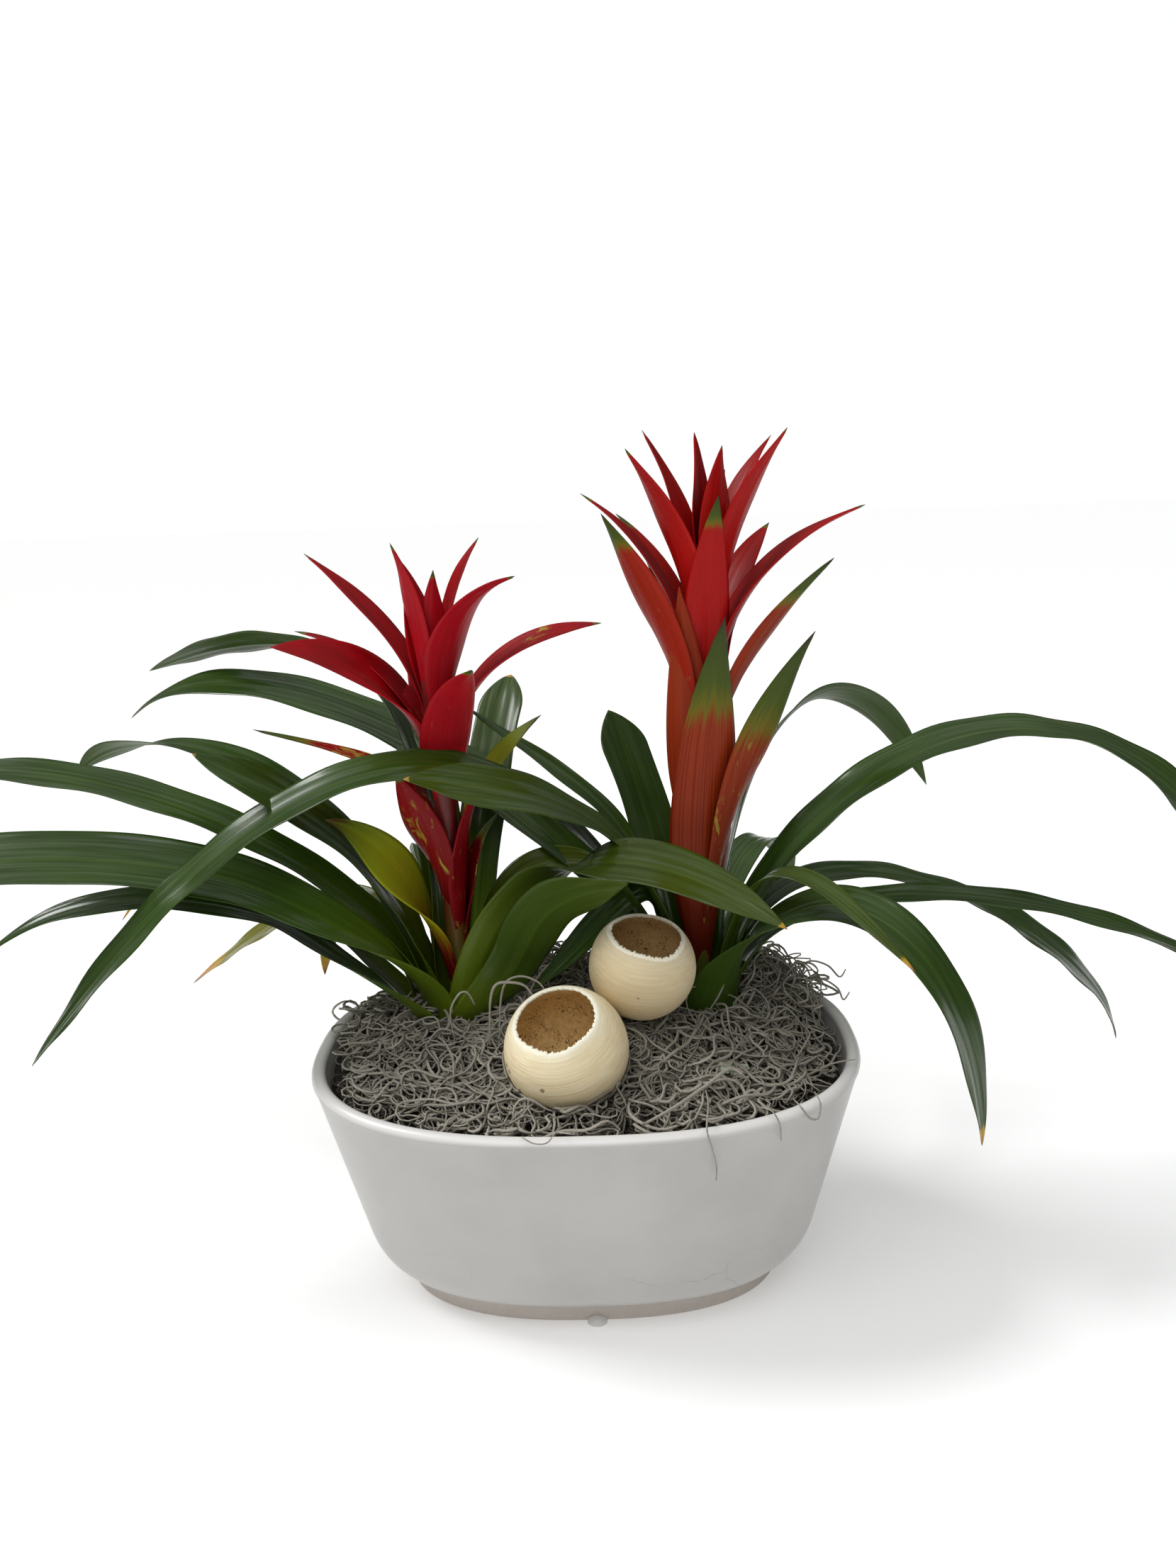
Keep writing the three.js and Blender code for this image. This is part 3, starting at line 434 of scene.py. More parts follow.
def bract_finish(name, face, edge, back, ribbed, deep):
    """Satin red bract: fine veins that run to the tip, a green tip, yellow mottling, and a paler back that is
    partly its own colour and partly painted sheen; painted shade darkens each bract towards its foot and
    darkens the lower bracts.
    """
    f = Finish(name)
    across, along, seed = f.attribute("lay")
    share, side, under = f.attribute("share")
    green, mottle, orange = f.attribute("look")
    veins = f.noise(f.vector(side * 13 + seed, along * 0.012, seed), 1.0, 1.5)
    lines = f.noise(f.vector(side * 30 + seed, along * 0.006, seed + 5), 1.0, 1.0)
    clouds = f.noise(f.vector(across * 0.07, along * 0.03, seed + 2), 1.0, 3.0)
    red = f.mix(clouds.above(0.3, 0.75), face, edge)
    # Paler back: partly the bract's own paler colour and partly painted sheen.
    red = f.mix(under * (0.35 + 0.4 * veins), red, back)
    red = f.mix(orange * (0.55 + 0.45 * lines.above(0.3, 0.7)), red, ribbed)
    red = f.mix(orange * lines.below(0.36, 0.5) * 0.5, red, deep)
    # Painted shade: each bract darkens towards its foot at the stem, and the bracts low on the stem darken
    # towards deep.
    low = f.height(f.place()).below(140, 255)
    red = f.mix(share.below(0.0, 0.3) * (0.25 + 0.35 * orange), red, deep)
    red = f.mix(low * 0.6, red, deep)
    stain = f.noise(f.vector(across * 0.16, along * 0.065, seed + 9), 1.0, 4.0, 0.66, 1.2)
    stain = (stain + mottle * 0.3).above(0.64, 0.76) * mottle.above(0.0, 0.15)
    red = f.mix(stain * 0.85, red, f.mix(veins, (0.27, 0.22, 0.02), (0.47, 0.42, 0.06)))
    reach = (share - 1 + green) / (green + 0.001) + (veins - 0.5) * 0.5 + side.abs() * 0.12
    dark = f.ramp(
        reach,
        (0.0, (0.20, 0.08, 0.006)),
        (0.18, (0.15, 0.13, 0.008)),
        (0.4, (0.065, 0.092, 0.010)),
        (0.93, (0.042, 0.064, 0.012)),
        (1.0, (0.05, 0.03, 0.015)),
    )
    lime = f.ramp(
        reach,
        (0.0, (0.28, 0.09, 0.006)),
        (0.3, (0.32, 0.29, 0.010)),
        (0.7, (0.28, 0.32, 0.012)),
        (0.94, (0.15, 0.20, 0.016)),
        (1.0, (0.08, 0.05, 0.015)),
    )
    tip = f.mix(green.above(0.45, 0.65), dark, lime)
    colour = f.mix(reach.above(-0.05, 0.22) * green.above(0.005, 0.03), red, tip)
    rough = 0.36 + veins * 0.14 + under * 0.05
    return f.set(
        Base_Color=colour, Roughness=rough, Normal=f.bump(veins * 0.6 + lines * 0.4, 0.3, 0.6),
        Specular_IOR_Level=0.12, Coat_Weight=veins.above(0.45, 0.75) * 0.14 + 0.02, Coat_Roughness=0.24,
    )


def stem_finish(name, red):
    """A streaked flower stem, green near the soil and red above."""
    f = Finish(name)
    place = f.place()
    streaks = f.noise(f.vector_math("MULTIPLY", place, (0.8, 0.8, 0.05)), 1.0)
    upper = f.height(place).above(120, 190)
    colour = f.mix(upper, (0.12, 0.16, 0.02), f.mix(streaks, red, (0.10, 0.01, 0.006)))
    return f.set(Base_Color=colour, Roughness=0.4 + streaks * 0.2, Normal=f.bump(streaks, 0.3, 0.5))


def pot_finish():
    """Satin white glaze over a bare taupe foot, with faint marbling, pin marks, a few grey scuffs and a
    painted highlight along the top of the rim.
    """
    f = Finish("pot_glaze")
    place = f.place()
    height = f.height(place)
    clouds = f.noise(place, 0.02, 4.0)
    glaze = f.mix(clouds.above(0.3, 0.7), (0.415, 0.405, 0.388), (0.465, 0.455, 0.436))
    slanted = {"Vector": place, "Rotation": (0, 0.5, 0), "Scale": (0.05, 0.05, 0.35)}
    stretched = f.node("ShaderNodeMapping", None, slanted)
    scuffs = f.noise(stretched, 1.0, 6.0, 0.75, 0.6).above(0.70, 0.76)
    hidden = f.noise(place, 0.014, 2.0).above(0.52, 0.64)
    glaze = f.mix(scuffs * hidden * 0.45, glaze, (0.36, 0.345, 0.32))
    pins = f.cells(place, 0.09).below(0.03, 0.05) * f.noise(place, 0.05, 1.0).above(0.5, 0.6)
    glaze = f.mix(pins * 0.6, glaze, (0.30, 0.27, 0.23))
    bent = f.vector_math("MULTIPLY_ADD", f.noise(place, 0.15, 2.0).out("Color"), (3.0, 3.0, 3.0), place)
    crack = f.cells(bent, 0.018, "DISTANCE_TO_EDGE").below(0.0015, 0.005)
    crack = crack * f.noise(place, 0.02, 2.0).above(0.54, 0.62) * height.below(28, 60)
    glaze = f.mix(crack * 0.4, glaze, (0.30, 0.28, 0.25))
    # Painted highlight: the glaze turns much lighter along the top of the rim.
    glaze = f.mix(height.above(110.2, 112.4), glaze, (0.72, 0.71, 0.69))
    crawl = f.noise(place, 0.4, 3.0)
    bare = (height + crawl * 1.2).below(12.2, 13.0)
    colour = f.mix(bare, glaze, f.mix(crawl, (0.48, 0.43, 0.385), (0.59, 0.54, 0.49)))
    grain = f.noise(place, 1.6, 3.0)
    rough = 0.27 + clouds * 0.08 + bare * 0.4
    return f.set(
        Base_Color=colour, Roughness=rough, Normal=f.bump(crawl * 0.7 + grain * 0.3, 0.12, 0.5),
        Specular_IOR_Level=0.75,
    )


def drip_finish():
    """Thick white glaze, run together and glossy, a little duller where it is thin."""
    f = Finish("glaze_drip")
    thin = f.noise(f.place(), 0.3, 2.0)
    colour = f.mix(thin, (0.70, 0.69, 0.67), (0.78, 0.77, 0.75))
    return f.set(Base_Color=colour, Roughness=0.12 + thin * 0.1, Specular_IOR_Level=0.6)


def soil_finish():
    """Dark crumbs with pale flecks."""
    f = Finish("potting_soil")
    place = f.place()
    crumbs = f.noise(place, 0.35, 5.0, 0.7)
    flecks = f.cells(place, 0.3)
    colour = f.mix(crumbs.above(0.3, 0.7), (0.012, 0.008, 0.005), (0.05, 0.032, 0.02))
    colour = f.mix(flecks.below(0.1, 0.2) * 0.5, colour, (0.16, 0.13, 0.1))
    return f.set(Base_Color=colour, Roughness=0.95 - crumbs * 0.1, Normal=f.bump(crumbs, 1.5))


def bed_finish():
    """The mat under the loose strands: fibres painted near black as the shade deep in the gaps between
    strands, with grey threads.
    """
    f = Finish("moss_mat")
    place = f.place()
    threads = f.noise(place, 0.45, 5.0, 0.7, 2.5)
    # Painted shade: the near-black fibres stand for the shade between the strands.
    colour = f.mix(threads.above(0.4, 0.62), (0.012, 0.010, 0.008), (0.062, 0.055, 0.045))
    return f.set(Base_Color=colour, Roughness=0.95 - threads * 0.05, Normal=f.bump(threads, 1.2))


def strand_finish():
    """Dry grey moss strands, scaly, some of them olive and all darker towards both ends; each has its own
    tone, which carries painted shade that darkens strands lying low in the moss.
    """
    f = Finish("moss_strand")
    tone, along, seed = f.attribute("strand")
    place = f.place()
    scales = f.noise(place, 1.1, 3.0, 0.65)
    # tone carries the painted shade of strands lying low in the moss.
    light = tone * 0.75 + scales * 0.45 - 0.12
    colour = f.ramp(
        light,
        (0.0, (0.030, 0.023, 0.016)),
        (0.3, (0.100, 0.088, 0.069)),
        (0.6, (0.25, 0.231, 0.190)),
        (1.0, (0.50, 0.468, 0.40)),
    )
    colour = f.mix(seed.above(0.9, 0.93) * 0.6, colour, (0.17, 0.16, 0.10))
    colour = f.mix((along - 0.5).abs().above(0.42, 0.5) * 0.4, colour, (0.05, 0.038, 0.028))
    return f.set(Base_Color=colour, Roughness=0.86 + scales * 0.1, Normal=f.bump(scales, 0.35, 0.8))


def pod_finish():
    """Pale dried shell: brushed cream outside, a chalky broken lip, and a tan pitted inside."""
    f = Finish("pod_shell")
    inside, lip, collar = f.attribute("zone")
    polar, round_, seed = f.attribute("lay")
    place = f.place()
    brushed = f.noise(f.vector(round_ * 0.05, polar * 1.3, seed), 1.0, 4.0, 0.65, 0.3)
    clouds = f.noise(place, 0.06, 3.0)
    shell = f.mix(brushed.above(0.32, 0.68), (0.80, 0.64, 0.375), (0.97, 0.85, 0.58))
    shell = f.mix(clouds.above(0.45, 0.75) * 0.5, shell, (0.82, 0.66, 0.385))
    shell = f.mix(collar * 0.7, shell, (0.93, 0.87, 0.66))
    shaded = seed.above(5, 6)
    shell = f.mix(shaded * 0.35, shell, (0.42, 0.32, 0.17))
    flaws = f.noise(place, 0.18, 5.0, 0.75).above(0.72, 0.77)
    for spot, size in POD_FLAWS:
        away = f.vector_math("DISTANCE", place, spot).out("Value") + f.noise(place, 1.4, 3.0, 0.7) * 3.4
        flaws = flaws + (away - 1.7).below(size * 0.7, size)
    shell = f.mix(flaws.above(0.1, 0.9) * 0.75, shell, (0.16, 0.105, 0.055))
    grain = f.noise(place, 0.55, 5.0, 0.7)
    pits = f.noise(place, 1.15, 3.0, 0.7, 0.6)
    groups = f.noise(place, 0.13, 2.0).above(0.46, 0.6) + polar.below(19, 30) * 0.6
    hollow = f.mix(grain.above(0.3, 0.7), (0.72, 0.46, 0.17), (0.93, 0.70, 0.35))
    hollow = f.mix(shaded * 0.35, hollow, (0.34, 0.22, 0.09))
    pitted = pits.below(0.40, 0.46) * groups.above(0.15, 0.8) * inside.above(0.5, 1.0)
    hollow = f.mix(pitted * 0.9, hollow, (0.07, 0.035, 0.012))
    chalk = f.mix(grain, (0.88, 0.82, 0.62), (0.95, 0.92, 0.78))
    edge = (lip + (grain - 0.5) * 0.9).above(0.35, 0.5)
    colour = f.mix(inside.above(0.4, 0.6), shell, hollow)
    colour = f.mix(edge, colour, chalk)
    height = f.mix(inside.above(0.4, 0.6), brushed, pits)
    height = f.node("ShaderNodeSeparateColor", None, {0: height})
    return f.set(
        Base_Color=colour,
        Roughness=0.6 + grain * 0.25,
        Normal=f.bump(height, 0.5, 0.6),
        Specular_IOR_Level=0.3,
    )


def lichen_finish():
    """Frosted grey-green lichen."""
    f = Finish("lichen_flake")
    place = f.place()
    frost = f.noise(place, 0.8, 4.0, 0.6)
    colour = f.mix(frost, (0.20, 0.22, 0.16), (0.46, 0.50, 0.40))
    return f.set(Base_Color=colour, Roughness=0.85 + frost * 0.1, Normal=f.bump(frost, 0.5))


def midline(root, climb, crest, tip, steps):
    """Reach and height at equal steps along the Bezier curve root, climb, crest, tip; and its length."""
    t = np.linspace(0, 1, 500)[:, None]
    curve = (
        (1 - t) ** 3 * np.array(root) + 3 * (1 - t) ** 2 * t * np.array(climb)
        + 3 * (1 - t) * t ** 2 * np.array(crest) + t ** 3 * np.array(tip)
    )
    length = np.concatenate([[0], np.cumsum(np.linalg.norm(np.diff(curve, axis=0), axis=1))])
    wanted = np.linspace(0, length[-1], steps + 1)
    return np.stack([np.interp(wanted, length, curve[:, k]) for k in (0, 1)], 1), length[-1]


def blade(origin, heading, line, length, width, wrap, tilt, relief, thickness, across, look, seed):
    """The closed skin of a thin curved blade.

    The section is an arc: with u from -1 to 1, r = width / (2 wrap) and a = u wrap, its point is
    centre + side r sin a + face (r - r cos a), and its normal is face cos a - side sin a. side is level and
    square to the midline, turned about it by tilt; face is along x side. The two faces stand half the
    thickness, times the root of 1 - (0.9 u)^2, off that surface, which is itself moved along the normal by
    relief(share, u, width).
    """
    share = np.linspace(0, 1, len(line))
    turn = np.radians(heading(share) + 0 * share)
    away = np.stack([np.cos(turn), np.sin(turn), 0 * turn], 1)
    spine = np.array([origin[0], origin[1], 0]) + away * line[:, :1]
    spine[:, 2] = line[:, 1]
    along = unit(np.gradient(spine, axis=0))
    side = np.stack([-away[:, 1], away[:, 0], 0 * turn], 1)
    side = unit(side - along * np.sum(side * along, 1, keepdims=True))
    angle = np.radians(tilt(share) + 0 * share)[:, None]
    side = side * np.cos(angle) + np.cross(along, side) * np.sin(angle)
    face = np.cross(along, side)
    wide = np.maximum(width(share), 0.3)
    bend = wrap(share)
    radius = (wide / (2 * bend))[:, None, None]
    u = np.linspace(-1, 1, across + 1)
    a = (bend[:, None] * u)[..., None]
    middle = spine[:, None] + side[:, None] * radius * np.sin(a) + face[:, None] * radius * (1 - np.cos(a))
    normal = face[:, None] * np.cos(a) - side[:, None] * np.sin(a)
    middle = middle + normal * relief(share[:, None], u, wide[:, None])[..., None]
    half = np.minimum(thickness / 2, 0.3 * wide)[:, None] * np.sqrt(1 - (0.9 * u) ** 2)
    upper = middle + normal * half[..., None]
    lower = middle - normal * half[..., None]
    ring = np.concatenate([upper, lower[:, ::-1]], 1)
    rows, columns = ring.shape[:2]
    faces = grid_faces(rows, columns)
    i = np.arange(across)
    cap = np.stack([i, i + 1, columns - 2 - i, columns - 1 - i], 1)
    faces = np.concatenate([faces, cap[:, ::-1], cap + (rows - 1) * columns])
    sides = np.concatenate([u, u[::-1]])
    under = np.concatenate([0 * u, 0 * u + 1])
    grid_share, grid_side = np.broadcast_arrays(share[:, None], sides[None])
    values = {
        "lay": np.stack([grid_side * wide[:, None] / 2, grid_share * length, 0 * grid_share + seed], -1),
        "share": np.stack([grid_share, grid_side, 0 * grid_share + under], -1),
        "look": np.broadcast_to(np.array(look, float), (rows, columns, 3)),
    }
    points = ring.reshape(-1, 3)
    return points, outward(points, faces), {key: value.reshape(-1, 3) for key, value in values.items()}


def leaf_skin(plant, row, seed):
    """A strap leaf: a sheath that wraps the stem, a channelled blade, and a tip that narrows as a sine.

    Relief: shallow lengthwise corrugations, a groove at the middle, and margins that wave along the length.
    """
    turn, veer, ring, climb, crest, tip, wide, before, after, twist, point, look = row
    radius = 9 + 1.15 * ring
    sheath = min(2 * 0.86 * radius, 1.25 * wide)
    thickness, steps, across = LEAF_BLADE
    line, length = midline((radius, CROWN_BASE), climb, crest, tip, steps)
    random = np.random.default_rng(seed)
    phases = random.uniform(0, 2 * np.pi, 5)
    pitch = random.uniform(38, 64)

    def width(t):
        body = wide * lerp(0.8, 1, smooth(t, 0.1, 0.55))
        taper = np.sin(np.clip((1 - t) / point, 0, 1) * np.pi / 2) ** 0.9
        return lerp(sheath, body, smooth(t, 0.03, 0.28)) * taper

    def relief(t, u, w):
        body = smooth(t, 0.05, 0.3) * np.clip(w / 12, 0, 1)
        ribs = 0.13 * np.cos(u * 11 + phases[0] + 0.7 * np.sin(4 * t + phases[1])) * (1 - u ** 2)
        groove = -0.35 * np.exp(-(u / 0.1) ** 2)
        swing = np.sin(2 * np.pi * t * length / pitch + phases[2] + np.where(u > 0, phases[3], 0))
        return body * (ribs + groove + 0.55 * swing * np.abs(u) ** 3)

    return blade(
        plant["place"],
        lambda t: turn + veer * (1 - smooth(t, 0, 0.4)),
        line,
        length,
        width,
        lambda t: lerp(sheath / (2 * radius), lerp(0.42, 0.2, t), smooth(t, 0.03, 0.32)),
        lambda t: lerp(before * smooth(t, 0.04, 0.3), after, smooth(t, twist - 0.13, twist + 0.13)),
        relief,
        thickness,
        across,
        look,
        seed,
    )


def stem_axis(plant, height):
    """The stem leans as the square of its height over the crown."""
    up = (height - CROWN_BASE) / plant["over"]
    return plant["place"][0] + plant["lean"][0] * up ** 2, plant["place"][1] + plant["lean"][1] * up ** 2


def bract_skin(plant, row, seed):
    """A bract: it hugs the stem at its foot, swells to its full width, and draws out to a fine point.

    Relief: a shallow keel, fine ribs, and a tip that curls to one side.
    """
    turn, foot, climb, crest, tip, wide, tilt, look = row
    thickness, steps, across = BRACT_BLADE
    line, length = midline((plant["stem"] - 1.6, foot), climb, crest, tip, steps)
    random = np.random.default_rng(seed)
    phases = random.uniform(0, 2 * np.pi, 3)

    def width(t):
        taper = np.sin(np.clip((1 - t) / 0.56, 0, 1) * np.pi / 2) ** 0.95
        return wide * (0.4 + 0.6 * smooth(t, 0, 0.45)) * taper

    def relief(t, u, w):
        body = smooth(t, 0.1, 0.4) * np.clip(w / 9, 0, 1)
        ribs = 0.1 * np.cos(u * 14 + phases[0]) * (1 - u ** 2)
        keel = -0.3 * np.exp(-(u / 0.14) ** 2)
        swing = 0.5 * np.sin(2 * np.pi * t * 1.6 + phases[1]) * u * np.abs(u)
        return body * (ribs + keel + swing)

    return blade(
        stem_axis(plant, foot),
        lambda t: turn,
        line,
        length,
        width,
        lambda t: lerp(1, 0.35, smooth(t, 0, 0.7)),
        lambda t: tilt * smooth(t, 0.2, 0.8),
        relief,
        thickness,
        across,
        look,
        seed,
    )


def round_skin(rings, values):
    """A closed skin over a stack of rings, with the first and last ring drawn together to a point."""
    rows, columns = rings.shape[:2]
    faces = grid_faces(rows, columns)
    points = np.concatenate([rings.reshape(-1, 3), rings[0].mean(0)[None], rings[-1].mean(0)[None]])
    i = np.arange(columns)
    after = (i + 1) % columns
    low, high = rows * columns, rows * columns + 1
    start = np.stack([after, i, 0 * i + low, 0 * i + low], 1)
    last = (rows - 1) * columns
    end = np.stack([i + last, after + last, 0 * i + high, 0 * i + high], 1)
    faces = np.concatenate([faces, start, end])
    a, b, c = (points[faces[:, k]] for k in range(3))
    if np.einsum("ij,ij->i", a, np.cross(b, c)).sum() < 0:
        faces = np.where((faces[:, 3] == faces[:, 2])[:, None], faces[:, [1, 0, 2, 2]], faces[:, ::-1])
    full = {}
    for key, value in values.items():
        value = np.broadcast_to(value, rings.shape)
        full[key] = np.concatenate([value.reshape(-1, 3), value[0].mean(0)[None], value[-1].mean(0)[None]])
    return points, faces, full


def stem_skin(plant):
    """The flower stem: rings round its leaning axis, with slow bulges along it."""
    heights = np.linspace(STEM_FOOT, plant["top"], 70)
    x, y = stem_axis(plant, np.maximum(heights, CROWN_BASE))
    radius = plant["stem"] * (0.97 + 0.03 * np.sin(heights / 7))
    radius = radius * np.where(heights > plant["top"] - 12, 0.8, 1)
    radius[-1] = 1.2
    turn = around(28)
    rings = np.stack([
        x[:, None] + radius[:, None] * np.cos(turn),
        y[:, None] + radius[:, None] * np.sin(turn),
        heights[:, None] + 0 * turn,
    ], -1)
    return round_skin(rings, {})


def oval(inset, turn):
    """A superellipse in plan: cos^(2/n) and sin^(2/n) with their signs, times the half sizes less inset."""
    power = 2 / SQUARENESS
    c, s = np.cos(turn), np.sin(turn)
    x = np.sign(c) * np.abs(c) ** power * (HALF_LENGTH - inset)
    y = np.sign(s) * np.abs(s) ** power * (HALF_DEPTH - inset)
    return x, y


def outer_inset(height):
    """Straight from the rim to the shoulder, then rounded in to the skirt over the foot."""
    upper = SHOULDER_INSET * (RIM_HEIGHT - height) / (RIM_HEIGHT - SHOULDER_HEIGHT)
    down = np.clip((SHOULDER_HEIGHT - height) / (SHOULDER_HEIGHT - FOOT_HEIGHT), 0, 1)
    lower = SHOULDER_INSET + (SKIRT_INSET - SHOULDER_INSET) * (0.42 * down + 0.58 * down ** 2.6)
    return np.where(height >= SHOULDER_HEIGHT, upper, lower)


def inner_inset(height):
    return outer_inset(np.maximum(height, SHOULDER_HEIGHT)) + WALL


def pot_skin():
    """The pot's wall carried up outside, over a round lip, and down inside to the floor."""
    lip = WALL / 2
    profile = [(FOOT_INSET + 34, 0.0), (FOOT_INSET + 1.2, 0.0), (FOOT_INSET + 0.3, 0.4), (FOOT_INSET, 1.2)]
    profile += [(FOOT_INSET - 0.4 * z / 11, z) for z in np.linspace(2, FOOT_HEIGHT - 0.7, 6)]
    profile += [(FOOT_INSET - 1.2, FOOT_HEIGHT - 0.25), (SKIRT_INSET + 1.6, FOOT_HEIGHT - 0.1)]
    profile += [(float(outer_inset(z)) + 0.5 * np.exp(-(z - 12) / 0.8), z) for z in np.linspace(12.1, 34, 26)]
    profile += [(float(outer_inset(z)), z) for z in np.linspace(36, 109.5, 30)]
    for angle in np.radians(np.linspace(0, 180, 17)):
        height = RIM_HEIGHT - lip + lip * np.sin(angle)
        profile.append((float(outer_inset(RIM_HEIGHT)) + 0.35 + lip - lip * np.cos(angle), height))
    profile += [(float(inner_inset(z)), z) for z in np.linspace(108, 26, 30)]
    profile += [(float(inner_inset(26)) + 8, FLOOR + 4), (float(inner_inset(26)) + 18, FLOOR)]
    inset, height = np.array(profile).T
    turn = around(288)
    x, y = oval(inset[:, None], turn)
    wobble = 1 + 0.0012 * waves(turn, (2, 3, 5), 4) * smooth(height, 5, 60)[:, None]
    rings = np.stack([x * wobble, y * wobble, height[:, None] + 0 * turn], -1)
    return round_skin(rings, {})


def bead_skin():
    """The drip of glaze under the front of the foot: a flat-based dome."""
    polar = np.linspace(0.02, np.pi / 2, 12)
    turn = around(32)
    dome = np.stack([
        2 + 4.5 * np.sin(polar)[:, None] * np.cos(turn),
        -(HALF_DEPTH - FOOT_INSET) - 0.4 + 3.6 * np.sin(polar)[:, None] * np.sin(turn),
        0.1 + 3.2 * np.cos(polar)[:, None] + 0 * turn,
    ], -1)
    base = dome[-1:] * [1, 1, 0] + [0, 0, 0.02]
    return round_skin(np.concatenate([dome, base]), {})


def moss_height(x, y):
    """A mound that falls from the plants to the rim, bell-shaped heaps right and left, and soft lumps."""
    out = np.hypot(x / 118, (y - 8) / 84)
    mound = 1 - smooth(out, 0.12, 1)
    tuft = TUFT_RISE * np.exp(-((x - TUFT_X) ** 2 + (y - TUFT_Y) ** 2) / TUFT_RADIUS ** 2)
    heap = HEAP_RISE * np.exp(-((x - HEAP_X) ** 2 + (y - HEAP_Y) ** 2) / HEAP_RADIUS ** 2)
    lumps = 1.3 * np.sin(x * 0.21 + y * 0.11) * np.cos(y * 0.23 - x * 0.07)
    return lerp(MOSS_RIM, MOSS_CROWN, mound) + tuft + heap + lumps


def bed_skin():
    """The mat: the moss height, lowered, roughened by crossed sines, and closed down to the soil."""
    turn = around(160)
    shares = np.linspace(0.02, 1, 60)[:, None]
    edge_x, edge_y = oval(float(inner_inset(MOSS_RIM)) + 0.4, turn)
    x, y = edge_x * shares, edge_y * shares
    rough = 1.2 * np.sin(x * 0.9 + 2 * np.sin(y * 0.31)) * np.cos(y * 0.8 + 2 * np.sin(x * 0.27))
    top = np.stack([x, y, moss_height(x, y) - 4.0 + rough - 2.5 * smooth(shares, 0.9, 1)], -1)
    low_x, low_y = oval(float(inner_inset(SOIL_TOP)) + 0.4, turn)
    wall = np.stack([low_x, low_y, SOIL_TOP + 0.4 + 0 * turn], -1)[None]
    floor = wall * [0.05, 0.05, 1]
    return round_skin(np.concatenate([top, wall, floor]), {})


def tubes(paths, radius, sides, strand):
    """Round tubes along paths (strand, step, 3), with a radius for each step and a flat face at each end."""
    along = unit(np.gradient(paths, axis=1))
    level = np.stack([-along[..., 1], along[..., 0], 0 * along[..., 0]], -1) + 1e-6
    level = unit(level)
    up = np.cross(along, level)
    turn = around(sides)
    spokes = level[:, :, None] * np.cos(turn)[:, None] + up[:, :, None] * np.sin(turn)[:, None]
    points = paths[:, :, None] + spokes * radius[:, :, None, None]
    count, steps = paths.shape[:2]
    single = grid_faces(steps, sides)
    end = np.arange(sides) if sides == 4 else np.array([0, 1, 2, 2])
    last = end + (steps - 1) * sides
    back = end[::-1] if sides == 4 else np.array([1, 0, 2, 2])
    single = np.concatenate([single[:, ::-1], last[None], back[None]])
    faces = (single[None] + np.arange(count)[:, None, None] * steps * sides).reshape(-1, 4)
    share = np.linspace(0, 1, steps)[None, :, None]
    value = np.stack(np.broadcast_arrays(strand[:, 0, None, None], share, strand[:, 1, None, None]), -1)
    value = np.broadcast_to(value, (count, steps, sides, 3)).reshape(-1, 3)
    return points.reshape(-1, 3), faces, {"strand": value}


def clear_of_pods(paths, room):
    """Points inside a pod's ball are moved straight out to its surface."""
    for centre, radius, _, _, _, _ in PODS.values():
        offset = paths - np.array(centre)
        distance = np.linalg.norm(offset, axis=-1, keepdims=True)
        inside = distance < radius + room
        paths = np.where(inside, np.array(centre) + offset / distance * (radius + room), paths)
    return paths


def inside_rim(x, y, room):
    across, deep = np.abs(x) / (HALF_LENGTH - room), np.abs(y) / (HALF_DEPTH - room)
    return across ** SQUARENESS + deep ** SQUARENESS < 1


